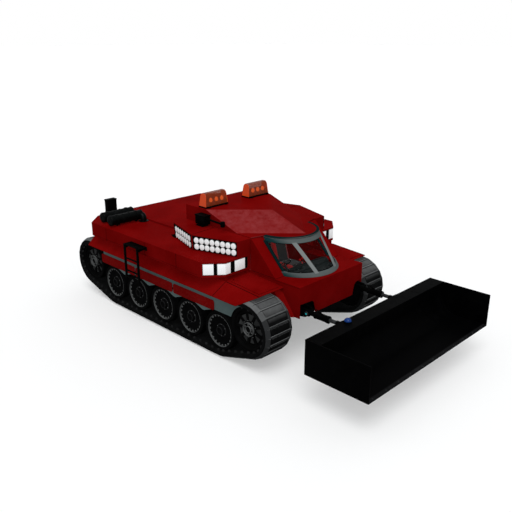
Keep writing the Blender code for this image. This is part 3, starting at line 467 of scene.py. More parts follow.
class Solid:
    """Closed shells gathered into one mesh, in the machine's own coordinates."""

    def __init__(self, finish: Finish) -> None:
        """Start empty, with the finish that the first shells take."""
        self.bm = bmesh.new()
        self.finishes = [finish]
        self.current = 0

    def wear(self, finish: Finish) -> "Solid":
        """Give the shells that follow another finish."""
        if finish not in self.finishes:
            self.finishes.append(finish)
        self.current = self.finishes.index(finish)
        return self

    def take(self, shell: bmesh.types.BMesh, bevel: float = 0.0) -> "Solid":
        """Add a shell with its normals outwards and its sharp edges rounded.

        Args:
            shell: the new shell, which is used up.
            bevel: radius of the rounding, or 0 for none.

        Returns:
            This solid.
        """
        bmesh.ops.recalc_face_normals(shell, faces=shell.faces)
        if bevel:
            sharp = [e for e in shell.edges if len(e.link_faces) == 2 and e.calc_face_angle(0.0) > 0.4]
            bmesh.ops.bevel(shell, geom=sharp, offset=bevel, segments=2, profile=0.6, affect="EDGES",
                            clamp_overlap=True)
        for face in shell.faces:
            face.material_index = self.current
        mesh = bpy.data.meshes.new("shell")
        shell.to_mesh(mesh)
        shell.free()
        self.bm.from_mesh(mesh)
        bpy.data.meshes.remove(mesh)
        return self

    def hull(self, points: Iterable[Sequence[float]], bevel: float = 0.0) -> "Solid":
        """Add the convex solid round some points."""
        shell = bmesh.new()
        for point in points:
            shell.verts.new(point)
        made = bmesh.ops.convex_hull(shell, input=shell.verts)
        spare = {v for v in made["geom_interior"] + made["geom_unused"] if isinstance(v, bmesh.types.BMVert)}
        bmesh.ops.delete(shell, geom=list(spare), context="VERTS")
        bmesh.ops.dissolve_limit(shell, angle_limit=0.002, verts=shell.verts, edges=shell.edges)
        return self.take(shell, bevel)

    def box(self, x: Pair, y: Pair, z: Pair, bevel: float = 0.0) -> "Solid":
        """Add a block between two corners."""
        return self.hull([(a, b, c) for a in x for b in y for c in z], bevel)

    def wedge(self, outline: Sequence[Pair], y: Pair, bevel: float = 0.0) -> "Solid":
        """Add the convex solid round an (x, z) outline between two distances along Y."""
        return self.hull([(a, b, c) for b in y for a, c in outline], bevel)

    def prism(self, outline: Sequence[Pair], span: Pair, axis: str = "Y", bevel: float = 0.0) -> "Solid":
        """Add a flat outline run along an axis: (x, z) along Y, (x, y) along Z, (y, z) along X."""
        order = {"Y": (0, 2, 1), "Z": (0, 1, 2), "X": (2, 0, 1)}[axis]
        return self.loft([[[(a, b, t)[k] for k in order] for a, b in outline] for t in span], bevel=bevel)

    def loft(self, rings: Sequence[Sequence[Sequence[float]]], closed: bool = False,
             bevel: float = 0.0) -> "Solid":
        """Add a shell through rings of equal point count.

        Args:
            rings: the sections, in order.
            closed: whether the last ring joins the first, in place of two end caps.
            bevel: radius of the rounding, or 0.

        Returns:
            This solid.
        """
        shell = bmesh.new()
        loops = [[shell.verts.new(p) for p in ring] for ring in rings]
        pairs = list(zip(loops, loops[1:])) + ([(loops[-1], loops[0])] if closed else [])
        count = len(loops[0])
        for a, b in pairs:
            for i in range(count):
                j = (i + 1) % count
                shell.faces.new((a[i], a[j], b[j], b[i]))
        if not closed:
            shell.faces.new(loops[0][::-1])
            shell.faces.new(loops[-1])
        return self.take(shell, bevel)

    def turned(self, profile: Sequence[Pair], foot: Sequence[float], along: Sequence[float], steps: int = 48,
               ring: bool = False) -> "Solid":
        """Add a turned shell.

        Args:
            profile: radius and distance along the axis, from one end to the other.
            foot: where distance 0 lies.
            along: the axis.
            steps: flats round the axis.
            ring: whether the profile is a closed loop that stands clear of the axis.

        Returns:
            This solid.
        """
        shell = bmesh.new()
        rows: list[list[bmesh.types.BMVert]] = []
        for radius, distance in profile:
            if radius < 1e-6:
                rows.append([shell.verts.new((0.0, 0.0, distance))])
                continue
            angles = [2 * math.pi * k / steps for k in range(steps)]
            rows.append([shell.verts.new((radius * math.cos(a), radius * math.sin(a), distance))
                         for a in angles])
        for a, b in list(zip(rows, rows[1:])) + ([(rows[-1], rows[0])] if ring else []):
            for i in range(steps):
                j = (i + 1) % steps
                corners = [a[i % len(a)], a[j % len(a)], b[j % len(b)], b[i % len(b)]]
                shell.faces.new(list(dict.fromkeys(corners)))
        turn = Vector(along).to_track_quat("Z", "Y").to_matrix().to_4x4()
        bmesh.ops.transform(shell, matrix=Matrix.Translation(Vector(foot)) @ turn, verts=shell.verts)
        return self.take(shell)

    def disc(self, radius: float, ends: Pair, foot: Sequence[float], along: Sequence[float],
             steps: int) -> "Solid":
        """Add a plain round plate or shaft between two distances along its axis."""
        return self.turned([(0.0, ends[0]), (radius, ends[0]), (radius, ends[1]), (0.0, ends[1])], foot,
                           along, steps)

    def hoop(self, radii: Pair, ends: Pair, foot: Sequence[float], along: Sequence[float],
             steps: int) -> "Solid":
        """Add a ring of square section between two radii and two distances along its axis."""
        (r0, r1), (a, b) = radii, ends
        return self.turned([(r0, a), (r1, a), (r1, b), (r0, b)], foot, along, steps, ring=True)

    def rod(self, start: Sequence[float], end: Sequence[float], radius: float, sides: int = 24,
            lip: float = 0.0) -> "Solid":
        """Add a round bar, with its rims eased by lip."""
        start, along = Vector(start), Vector(end) - Vector(start)
        length = along.length
        lip = min(lip, radius * 0.45, length * 0.45)
        if not lip:
            return self.disc(radius, (0.0, length), start, along, sides)
        rims = [(radius - lip, 0.0), (radius, lip), (radius, length - lip), (radius - lip, length)]
        return self.turned([(0.0, 0.0), *rims, (0.0, length)], start, along, sides)

    def pipe(self, points: Sequence[Sequence[float]], radius: float, sides: int = 14) -> "Solid":
        """Add a round tube along points, mitred at each."""
        route = [Vector(p) for p in points]
        tangents = [(b - a).normalized() for a, b in zip(route, route[1:])]
        first = tangents[0].orthogonal().normalized()
        rings = []
        for i, point in enumerate(route):
            before, after = tangents[max(i - 1, 0)], tangents[min(i, len(tangents) - 1)]
            bisector = (before + after).normalized()
            if i:
                first = (first - before * first.dot(before)).normalized()
            second = before.cross(first)
            ring = []
            for k in range(sides):
                a = 2 * math.pi * k / sides
                spoke = (first * math.cos(a) + second * math.sin(a)) * radius
                ring.append(point + spoke - before * (spoke.dot(bisector) / before.dot(bisector)))
            rings.append(ring)
        return self.loft(rings)

    def form(self, name: str) -> bpy.types.Object:
        """Finish as a small form round its own origin, for repeats."""
        return self._object(name, Vector())

    def piece(self, name: str, body: Body, slot: Slot, *replaced: str) -> bpy.types.Object:
        """Finish as a piece of the machine.

        Args:
            name: the piece's name.
            body: the body it rides on.
            slot: not used.
            replaced: CAD nodes that it stands for.

        Returns:
            The object.
        """
        obj = self._object(name, ORIGIN)
        settle(obj, body, slot, *replaced)
        return obj

    def _object(self, name: str, offset: Vector) -> bpy.types.Object:
        """Make the object, with its place in its mesh and sharp edges kept sharp."""
        bmesh.ops.translate(self.bm, verts=self.bm.verts, vec=offset)
        mesh = bpy.data.meshes.new(name)
        self.bm.to_mesh(mesh)
        self.bm.free()
        for finish in self.finishes:
            mesh.materials.append(palette(finish))
        mesh.shade_smooth()
        mesh.set_sharp_from_angle(angle=math.radians(32))
        obj = bpy.data.objects.new(name, mesh)
        bpy.context.scene.collection.objects.link(obj)
        return obj


def settle(obj: bpy.types.Object, body: Body, slot: Slot, *replaced: str) -> None:
    """Ride a piece on its body and hide what it stands for."""
    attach(obj, body.value)
    if replaced:
        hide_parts(*replaced)
    log.info("%s: %d faces on %s", obj.name, len(obj.data.polygons), body.value)


def dress(finish: Finish, *nodes: str) -> None:
    """Give carried-over CAD nodes their finish."""
    for name in nodes:
        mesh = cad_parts[name].data
        mesh.materials.clear()
        mesh.materials.append(palette(finish))


@dataclass(frozen=True)
class Spot:
    """Where one copy of a form stands: its Z turns to facing, its X towards heading."""
    point: Sequence[float]
    facing: Sequence[float]
    heading: Sequence[float] | None = None
    stretch: Point = (1.0, 1.0, 1.0)

    def turn(self) -> tuple[float, float, float]:
        """Euler angles of the copy."""
        z = Vector(self.facing).normalized()
        x = Vector(self.heading) if self.heading else z.orthogonal()
        x = (x - z * x.dot(z)).normalized()
        return tuple(Matrix((x, z.cross(x), z)).transposed().to_euler())


class Repeater:
    """Geometry Nodes tree that sets a form on every point, turned and stretched by the point's own values."""

    def __init__(self) -> None:
        """Build the tree with its named inputs."""
        tree = self.tree = bpy.data.node_groups.new("copies on spots", "GeometryNodeTree")
        socket = tree.interface.new_socket
        socket("Spots", in_out="INPUT", socket_type="NodeSocketGeometry")
        self.form_input = socket("Form", in_out="INPUT", socket_type="NodeSocketObject").identifier
        self.size_input = socket("Size", in_out="INPUT", socket_type="NodeSocketFloat").identifier
        self.finish_input = socket("Finish", in_out="INPUT", socket_type="NodeSocketMaterial").identifier
        socket("Copies", in_out="OUTPUT", socket_type="NodeSocketGeometry")
        start, end = tree.nodes.new("NodeGroupInput"), tree.nodes.new("NodeGroupOutput")
        info = tree.nodes.new("GeometryNodeObjectInfo")
        spread = tree.nodes.new("GeometryNodeInstanceOnPoints")
        turn, stretch = (tree.nodes.new("GeometryNodeInputNamedAttribute") for _ in range(2))
        for node, name in ((turn, "turn"), (stretch, "stretch")):
            node.data_type = "FLOAT_VECTOR"
            node.inputs["Name"].default_value = name
        euler = tree.nodes.new("FunctionNodeEulerToRotation")
        scale = tree.nodes.new("ShaderNodeVectorMath")
        scale.operation = "SCALE"
        real = tree.nodes.new("GeometryNodeRealizeInstances")
        paint = tree.nodes.new("GeometryNodeSetMaterial")
        for source, output, target, entry in ((start, "Spots", spread, "Points"),
                                              (start, "Form", info, "Object"),
                                              (start, "Size", scale, "Scale"),
                                              (info, "Geometry", spread, "Instance"),
                                              (turn, "Attribute", euler, 0), (euler, 0, spread, "Rotation"),
                                              (stretch, "Attribute", scale, 0), (scale, 0, spread, "Scale"),
                                              (spread, 0, real, 0), (real, 0, paint, "Geometry"),
                                              (start, "Finish", paint, "Material"), (paint, 0, end, 0)):
            tree.links.new(source.outputs[output], target.inputs[entry])

    def make(self, name: str, form: Solid, spots: Sequence[Spot], body: Body, slot: Slot, *replaced: str,
             size: float = 1.0) -> bpy.types.Object:
        """Set copies of a form and turn them into one plain mesh.

        Args:
            name: the piece's name.
            form: the small form, in its own first finish.
            spots: where its copies stand.
            body: the body they ride on.
            slot: not used.
            replaced: CAD nodes that they stand for.
            size: scale of every copy.

        Returns:
            The finished piece.
        """
        finish = palette(form.finishes[0])
        unit = form.form(f"{name}_form")
        mesh = bpy.data.meshes.new(name)
        mesh.from_pydata([tuple(ORIGIN + Vector(s.point)) for s in spots], [], [])
        for label, values in (("turn", [s.turn() for s in spots]), ("stretch", [s.stretch for s in spots])):
            layer = mesh.attributes.new(label, "FLOAT_VECTOR", "POINT")
            layer.data.foreach_set("vector", [v for row in values for v in row])
        obj = bpy.data.objects.new(name, mesh)
        bpy.context.scene.collection.objects.link(obj)
        modifier = obj.modifiers.new("copies", "NODES")
        modifier.node_group = self.tree
        modifier[self.form_input], modifier[self.size_input], modifier[self.finish_input] = unit, size, finish
        graph = bpy.context.evaluated_depsgraph_get()
        plain = bpy.data.meshes.new_from_object(obj.evaluated_get(graph))
        obj.modifiers.clear()
        obj.data = plain
        for label in ("turn", "stretch"):
            if label in plain.attributes:
                plain.attributes.remove(plain.attributes[label])
        plain.materials.clear()
        plain.materials.append(finish)
        bpy.data.objects.remove(unit, do_unlink=True)
        bpy.data.meshes.remove(mesh)
        settle(obj, body, slot, *replaced)
        return obj


repeater = Repeater()


def on_side(side: int, near: float, far: float) -> Pair:
    """Two distances from the middle plane on one side, the lower first."""
    return tuple(sorted((side * near, side * far)))


def nut_rings(x: float, z: float, rings: Sequence[tuple[int, float, float, float]],
              lead: float = 0.0) -> list[Spot]:
    """Places of the nuts on both wheels of a pair.

    Args:
        x: the axle's place.
        z: the axle's height.
        rings: count, radius, distance from the middle plane and size of each ring of nuts.
        lead: angle in degrees that the rings are turned by.

    Returns:
        The places.
    """
    spots = []
    for side in (RIGHT, LEFT):
        for count, reach, height, size in rings:
            for k in range(count):
                a = 2 * math.pi * (k + 0.5) / count + math.radians(lead)
                point = (x + reach * math.cos(a), side * height, z + reach * math.sin(a))
                spots.append(Spot(point, (0, side, 0), (math.cos(a), 0, math.sin(a)), (size,) * 3))
    return spots


def hex_bolt(finish: Finish, head: float = 0.012, height: float = 0.008) -> Solid:
    """A hexagon head on a washer, standing on its origin."""
    form = Solid(finish)
    form.rod((0, 0, -0.001), (0, 0, height * 0.3), head * 1.35, 12)
    return form.rod((0, 0, height * 0.25), (0, 0, height), head, 6, lip=head * 0.12)


def arc(centre: Pair, radius: float, start: float, stop: float, count: int) -> list[Pair]:
    """Points on an arc, angles in degrees."""
    angles = [math.radians(start + (stop - start) * i / (count - 1)) for i in range(count)]
    return [(centre[0] + radius * math.cos(a), centre[1] + radius * math.sin(a)) for a in angles]


def rounded(low: Pair, high: Pair, radius: float, count: int = 4) -> list[Pair]:
    """A rectangle's outline with round corners."""
    (x0, y0), (x1, y1) = low, high
    corners = (((x1 - radius, y1 - radius), 0), ((x0 + radius, y1 - radius), 90),
               ((x0 + radius, y0 + radius), 180), ((x1 - radius, y0 + radius), 270))
    return [p for centre, turn in corners for p in arc(centre, radius, turn, turn + 90, count)]


def top_of(node: str) -> float:
    """Height of a CAD node's top."""
    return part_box(node)[1][2]


DECK_Z, BLOCK_Z, ROOF_Z = top_of("deck"), top_of("upper_block"), top_of("roof")
NOSE_Z, BLADE_Z = top_of("nose_shell"), top_of("blade")
WALL_X = 4.070
CAB_FLOOR = 1.171
SIDES = (("right", RIGHT), ("left", LEFT))


class BeltRoute:
    """The belt's line in the (x, z) plane: tangents and arcs round the road wheels and both end wheels."""

    def __init__(self) -> None:
        """Read the wheels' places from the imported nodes."""
        first, last = (centre_of(f"road_wheels_{k}") - ORIGIN for k in (1, 5))
        front, rear = (centre_of(f"{end}_wheels") - ORIGIN for end in ("front", "rear"))
        reach = Vector(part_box("track_right")[1]).x - ORIGIN.x - front.x + 0.012
        circles = [(first.x, first.z, first.z), (last.x, last.z, last.z), (front.x, front.z, reach),
                   (rear.x, rear.z, reach)]
        normals = []
        for (ax, az, ar), (bx, bz, br) in zip(circles, circles[1:] + circles[:1]):
            span = Vector((bx - ax, bz - az))
            along, lean = span.normalized(), math.asin((ar - br) / span.length)
            normals.append(Vector((along.y, -along.x)) * math.cos(lean) + along * math.sin(lean))
        self.runs: list[tuple[bool, tuple, float]] = []
        for i, (cx, cz, radius) in enumerate(circles):
            start = math.atan2(normals[i - 1].y, normals[i - 1].x)
            turn = (math.atan2(normals[i].y, normals[i].x) - start) % (2 * math.pi)
            turn = turn if turn < 2 * math.pi - 1e-6 else 0.0
            self.runs.append((True, (Vector((cx, cz)), radius, start), radius * turn))
            nx, nz, nr = circles[(i + 1) % len(circles)]
            a, b = Vector((cx, cz)) + normals[i] * radius, Vector((nx, nz)) + normals[i] * nr
            self.runs.append((False, (a, b, normals[i]), (b - a).length))
        self.length = sum(run[2] for run in self.runs)

    def at(self, distance: float) -> tuple[Vector, Vector]:
        """Point on the line and its outward direction, both in (x, z)."""
        distance %= self.length
        for curved, data, length in self.runs:
            if distance <= length:
                break
            distance -= length
        if curved:
            centre, radius, start = data
            out = Vector((math.cos(start + distance / radius), math.sin(start + distance / radius)))
            return centre + out * radius, out
        a, b, out = data
        return a.lerp(b, distance / length), out


ROUTE = BeltRoute()


@dataclass
class TrackBelt:
    """One track: a rubber band, lipped shoes, their pale frames and guide teeth."""
    tag: str
    side: int
    shoes: int = 78
    outer: float = 2.023
    inner: float = 1.248
    chamfer: float = 0.084

    def band(self) -> None:
        """The endless band that the shoes are bolted to."""
        count = self.shoes * 3
        section = ((0.062, self.outer), (0.040, self.outer - self.chamfer),
                   (0.040, self.inner + self.chamfer), (0.062, self.inner), (0.142, self.inner),
                   (0.150, self.inner + 0.010), (0.150, self.outer - 0.010), (0.142, self.outer))
        rings = []
        for i in range(count):
            point, out = ROUTE.at(i * ROUTE.length / count)
            rings.append([(point.x - out.x * d, self.side * y, point.y - out.y * d) for d, y in section])
        Solid(BELT_RUBBER).loft(rings, closed=True).piece(f"belt_band_{self.tag}", Body.HULL, Slot.BELT,
                                                          f"track_{self.tag}")

    def spots(self) -> list[Spot]:
        """Places of the shoes: each lies on its chord, so that none stands past the belt's line."""
        pitch, middle = ROUTE.length / self.shoes, self.side * (self.outer + self.inner) / 2
        spots = []
        for i in range(self.shoes):
            a, _ = ROUTE.at((i + 0.03) * pitch)
            b, _ = ROUTE.at((i + 0.97) * pitch)
            along, mid = b - a, (a + b) / 2
            out = Vector((along.y, -along.x)).normalized()
            spots.append(Spot((mid.x, middle, mid.y), (out.x, 0, out.y), (along.x, 0, along.y),
                              (along.length / (0.94 * pitch), 1.0, 1.0)))
        return spots

    def build(self) -> None:
        """Build the band, the shoes, their frames and the teeth."""
        self.band()
        pitch = ROUTE.length / self.shoes
        half_x, half_y = 0.47 * pitch, (self.outer - self.inner) / 2
        flat = half_y - self.chamfer
        plate = Solid(SHOE_METAL)
        plate.prism([(-half_y, -0.064), (-flat, -0.012), (flat, -0.012), (half_y, -0.064), (half_y, -0.074),
                     (-half_y, -0.074)], (-half_x, half_x), "X")
        plate.box((-half_x * 0.52, half_x * 0.86), (-flat + 0.045, flat - 0.045), (-0.020, -0.005), 0.003)
        spots = self.spots()
        repeater.make(f"shoe_plates_{self.tag}", plate, spots, Body.HULL, Slot.BELT)
        lip = Solid(SHOE_RIM)
        front = ((-half_x, -0.030), (-half_x, -0.003), (-half_x + 0.006, 0.0), (-half_x * 0.74, 0.0),
                 (-half_x * 0.66, -0.014))
        lip.wedge(front, (-flat, flat))
        for end in (-1, 1):
            slope = ((flat - 0.018, -0.013), (flat - 0.014, -0.004), (flat + 0.002, -0.003),
                     (half_y, -0.052), (half_y, -0.066))
            lip.hull([(x, end * y, z) for x in (-half_x, half_x) for y, z in slope])
        repeater.make(f"shoe_rims_{self.tag}", lip, spots, Body.HULL, Slot.BELT)
        tooth = Solid(RING_DARK)
        tooth.hull([(a * x, b * y, z) for x, y, z in ((0.030, 0.020, 0.0), (0.016, 0.012, 0.042))
                    for b in (-1, 1) for a in (-1, 1)])
        teeth = []
        for i in range(self.shoes):
            point, out = ROUTE.at((i + 0.5) * pitch)
            foot = point - out * 0.149
            teeth.append(Spot((foot.x, self.side * (self.outer - 0.036), foot.y), (-out.x, 0, -out.y),
                              (out.y, 0, -out.x)))
        repeater.make(f"guide_teeth_{self.tag}", tooth, teeth, Body.HULL, Slot.BELT)


@dataclass
class RoadWheels:
    """A pair of road wheels on their axle: dished discs with a ring of nuts."""
    number: int
    radius: float = 0.4446
    nuts: int = 20

    def build(self) -> list[Spot]:
        """Build the wheels; give the places of their nuts."""
        node = f"road_wheels_{self.number}"
        x, _, z = centre_of(node) - ORIGIN
        rim = self.radius
        outer = [(0.0, 1.772), (rim - 0.012, 1.772), (rim, 1.784), (rim, 1.940), (rim - 0.014, 1.954),
                 (0.412, 1.954), (0.404, 1.946), (0.372, 1.944), (0.364, 1.938), (0.362, 1.912),
                 (0.324, 1.910), (0.296, 1.892), (0.262, 1.884), (0.136, 1.884), (0.118, 1.896),
                 (0.108, 1.934), (0.096, 1.944), (0.060, 1.946), (0.052, 1.938), (0.0, 1.938)]
        inner = [(0.0, 1.362), (rim - 0.012, 1.362), (rim, 1.374), (rim, 1.488), (rim - 0.012, 1.500),
                 (0.0, 1.500)]
        wheels = Solid(WHEEL_BLACK)
        for side in (RIGHT, LEFT):
            foot, along = (x, 0, z), (0, side, 0)
            wheels.wear(WHEEL_BLACK).turned(outer, foot, along, 64).turned(inner, foot, along, 40)
            wheels.wear(TRIM_BLACK).disc(0.085, (1.500, 1.772), foot, along, 24)
            wheels.disc(0.06, (1.202, 1.362), foot, along, 24)
            wheels.wear(RING_GREY).turned([(0.3565, 1.908), (0.3640, 1.908), (0.3660, 1.946),
                                           (0.3625, 1.946)], foot, along, 64, ring=True)
            wheels.wear(RING_DARK).turned([(0.078, 1.940), (0.094, 1.940), (0.092, 1.9495),
                                           (0.080, 1.9495)], foot, along, 40, ring=True)
            wheels.turned([(0.118, 1.880), (0.150, 1.880), (0.146, 1.889), (0.118, 1.892)], foot, along, 40,
                          ring=True)
        wheels.piece(f"wheel_pair_{self.number}", Body.HULL, Slot.WHEEL, node)
        return nut_rings(x, z, ((self.nuts, 0.340, 1.911, 1.35), (6, 0.134, 1.890, 0.7)))


@dataclass
class EndWheels:
    """The front or rear pair: a black drum with grey folded spokes round a bolted hub."""
    end: str
    radius: float = 0.4816
    windows: int = 9

    def build(self) -> list[Spot]:
        """Build the wheels; give the places of their nuts."""
        node = f"{self.end}_wheels"
        x, _, z = centre_of(node) - ORIGIN
        rim = self.radius
        drum = [(0.402, 1.782), (rim - 0.010, 1.782), (rim, 1.792), (rim, 1.942), (rim - 0.012, 1.954),
                (0.424, 1.954), (0.408, 1.944), (0.396, 1.900)]
        inner = [(0.0, 1.382), (rim - 0.012, 1.382), (rim, 1.394), (rim, 1.488), (rim - 0.012, 1.500),
                 (0.0, 1.500)]
        wheels = Solid(WHEEL_BLACK)
        for side in (RIGHT, LEFT):
            foot, along = (x, 0, z), (0, side, 0)
            wheels.wear(WHEEL_BLACK).turned(drum, foot, along, 64, ring=True).turned(inner, foot, along, 40)
            wheels.turned([(0.354, 1.862), (0.404, 1.862), (0.404, 1.902), (0.354, 1.900)], foot, along, 64,
                          ring=True)
            wheels.turned([(0.0, 1.800), (0.178, 1.800), (0.174, 1.900), (0.124, 1.902), (0.116, 1.912),
                           (0.070, 1.912), (0.062, 1.933), (0.0, 1.935)], foot, along, 48)
            wheels.wear(TRIM_BLACK).disc(0.085, (1.500, 1.822), foot, along, 24)
            wheels.disc(0.06, (1.202, 1.382), foot, along, 24)
            wheels.disc(0.404, (1.846, 1.858), foot, along, 48)
            wheels.wear(RING_GREY)
            for r0, r1 in ((0.068, 0.081), (0.136, 0.150)):
                raised = [(r0, 1.905), (r1, 1.905), (r1, 1.940), (r1 - 0.005, 1.946), (r0 + 0.005, 1.946),
                          (r0, 1.940)]
                wheels.turned(raised, foot, along, 48, ring=True)
            for k in range(self.windows):
                for finish, lead, spine, heights in (
                        (PETAL_GREY, 3.0, ((0.160, 9.5), (0.250, 12.6), (0.330, 15.0)), (1.862, 1.886)),
                        (WHEEL_BLACK, 23.0, ((0.160, 10.0), (0.250, 7.4), (0.356, 5.0)), (1.898, 1.900))):
                    self.blade(wheels.wear(finish), x, z, side, lead + 360.0 * k / self.windows, spine,
                               heights)
        wheels.piece(f"{self.end}_wheel_pair", Body.HULL, Slot.WHEEL, node)
        return nut_rings(x, z, ((6, 0.109, 1.925, 1.05), (9, 0.186, 1.899, 0.7)), lead=3.0)

    @staticmethod
    def blade(wheels: Solid, x: float, z: float, side: int, middle: float, spine: Sequence[Pair],
              heights: Pair) -> None:
        """One flat blade between hub and rim.

        Args:
            wheels: solid that takes it.
            x: the axle's place.
            z: the axle's height.
            side: which side of the machine.
            middle: its angle in degrees.
            spine: radius and half width in degrees, from the hub out.
            heights: its face's distance from the middle plane at its two edges.
        """
        rings = []
        for reach, half in spine:
            ring = []
            for turn, height in ((-half, heights[0]), (half, heights[1]), (half, heights[1] - 0.006),
                                 (-half, heights[0] - 0.006)):
                a = math.radians(middle + turn)
                ring.append((x + reach * math.cos(a), side * height, z + reach * math.sin(a)))
            rings.append(ring)
        wheels.loft(rings)


class RunningGear:
    """Both tracks, the wheels in them, the plates over the wheels and the nuts."""

    def build(self) -> None:
        """Build every wheel pair, then the tracks."""
        spots: list[Spot] = []
        for number in range(1, 6):
            spots += RoadWheels(number).build()
        for end in ("front", "rear"):
            spots += EndWheels(end).build()
        repeater.make("wheel_nuts", hex_bolt(NUT_STEEL, 0.0125, 0.010), spots, Body.HULL, Slot.WHEEL)
        self.side_plates()
        for tag, side in SIDES:
            TrackBelt(tag, side).build()

    @staticmethod
    def side_plates() -> None:
        """Grey plates over the road wheels, with a gusset between each two."""
        wheels = [(centre_of(f"road_wheels_{k}") - ORIGIN).x for k in range(1, 6)]
        plate = Solid(FRAME_GREY)
        front = centre_of("front_wheels") - ORIGIN
        outline = [(wheels[0] - 0.42, 1.386), (wheels[0] - 0.42, 1.062)]
        for a, b in zip(wheels, wheels[1:]):
            outline += [(a + 0.15, 1.062), ((a + b) / 2 - 0.03, 0.945), ((a + b) / 2 + 0.03, 0.945),
                        (b - 0.15, 1.062)]
        outline += arc((front.x, front.z), 0.500, 163, 115, 9)
        outline += [(front.x - 0.150, 1.386)]
        for side in (RIGHT, LEFT):
            plate.prism(outline, on_side(side, 1.9665, 1.9580))
        plate.piece("running_gear_plates", Body.HULL, Slot.GREY)


GLASS_X, GLASS_R = (4.580, 4.120), (0.850, 0.740)


def bubble(theta: float, share: float, inset: float = 0.0) -> Point:
    """A point on the windscreen's surface.

    Args:
        theta: angle from straight ahead.
        share: 0 at the low arc to 1 at the high arc.
        inset: distance inside the surface.

    Returns:
        The point.
    """
    centre = GLASS_X[0] + (GLASS_X[1] - GLASS_X[0]) * share
    radius = GLASS_R[0] + (GLASS_R[1] - GLASS_R[0]) * share - inset
    height = NOSE_Z + (BLOCK_Z - 0.016 - NOSE_Z) * share
    return (centre + radius * math.cos(theta), radius * math.sin(theta), height)


@dataclass
class Windscreen:
    """The curved glass with its rings, mullions and side bars."""
    ring: float = 0.085 / 0.718
    steps: int = 48

    def band(self, low: float, high: float, shares: Pair, insets: Pair) -> list[list[Point]]:
        """Rings of a shell on the bubble between two shares, with its round edges."""
        (s0, s1), (outer, inner) = shares, insets
        ease = min(0.008 / 0.718, (s1 - s0) / 4)
        section = ((s0 + ease, outer), (s1 - ease, outer), (s1, outer + 0.006), (s1, inner), (s0, inner),
                   (s0, outer + 0.006))
        rings = []
        for i in range(self.steps + 1):
            a, b = (math.radians(-limit + 2 * limit * i / self.steps) for limit in (low, high))
            rings.append([bubble(a + (b - a) * share, share, inset) for share, inset in section])
        return rings

    def build(self) -> None:
        """Build the frame, its rubber seal and the glass."""
        frame_part = Solid(FRAME_PALE)
        frame_part.loft(self.band(73, 89, (0.0004, self.ring), (0.0, 0.050)))
        frame_part.loft(self.band(73, 89, (1 - self.ring, 0.9996), (0.0, 0.050)))
        for side in (RIGHT, LEFT):
            mullion = []
            for k in range(9):
                share = 0.09 + 0.82 * k / 8
                middle, radius = 0.310 + 0.135 * k / 8, GLASS_R[0] + (GLASS_R[1] - GLASS_R[0]) * share
                a, b = (math.asin(side * (middle + w) / radius) for w in (-0.045, 0.045))
                corners = ((a, -0.004), (b, -0.004), (b, 0.0195), (a, 0.0195))
                mullion.append([bubble(theta, share, inset) for theta, inset in corners])
            frame_part.wear(MULLION_PALE).loft(mullion, bevel=0.003)
            # Side bars in near-black teal, painted shade at the windscreen's ends.
            frame_part.wear(FRAME_PAINTED_SHADE)
            frame_part.hull([(4.085 + (BLOCK_Z - z) * 0.985 - back, side * y, z)
                             for z in (NOSE_Z + 0.069, BLOCK_Z - 0.085) for y in (0.7155, 0.790)
                             for back in (-0.0003, -0.045)], 0.005)
        top = BLOCK_Z + 0.0205
        # A thin near-black lip along the ring's top edge is painted shade under the roof's brow.
        for finish, (r0, r1), (z0, z1) in ((FRAME_PALE, (0.7452, 0.7475), (top - 0.022, top + 0.001)),
                                           (FRAME_PAINTED_SHADE, (0.682, 0.7474), (top - 0.002, top + 0.002))):
            lip = []
            for i in range(self.steps + 1):
                a = math.radians(-87 + 174 * i / self.steps)
                section = ((r0, z0), (r1, z0), (r1, z1), (r0, z1))
                lip.append([(GLASS_X[1] + r * math.cos(a), r * math.sin(a), z) for r, z in section])
            frame_part.wear(finish).loft(lip)
        frame_part.piece("windscreen_rings", Body.HULL, Slot.GREY, "windscreen_frame")
        seal = Solid(TRIM_BLACK)
        for shares in ((self.ring - 0.004, self.ring + 0.018),
                       (1 - self.ring - 0.018, 1 - self.ring + 0.004)):
            seal.loft(self.band(64, 77, shares, (0.0205, 0.034)))
        seal.piece("windscreen_seal", Body.HULL, Slot.BLACK)
        glass = Solid(CLEAR_GLASS)
        glass.loft(self.band(64, 77, (self.ring + 0.001, 1 - self.ring - 0.001), (0.0240, 0.0300)))
        glass.piece("windscreen_glass", Body.HULL, Slot.GLASS, "windscreen")


def moved_in(outline: Sequence[Pair], distances: Sequence[float]) -> list[Vector]:
    """A left-turning outline with each edge moved inwards by its own distance."""
    lines = []
    for i, point in enumerate(outline):
        along = (Vector(outline[(i + 1) % len(outline)]) - Vector(point)).normalized()
        lines.append((Vector(point) + Vector((-along.y, along.x)) * distances[i], along))
    corners = []
    for i, (p, u) in enumerate(lines):
        q, v = lines[i - 1]
        corners.append(q + v * (((p - q).x * u.y - (p - q).y * u.x) / (v.x * u.y - v.y * u.x)))
    return corners


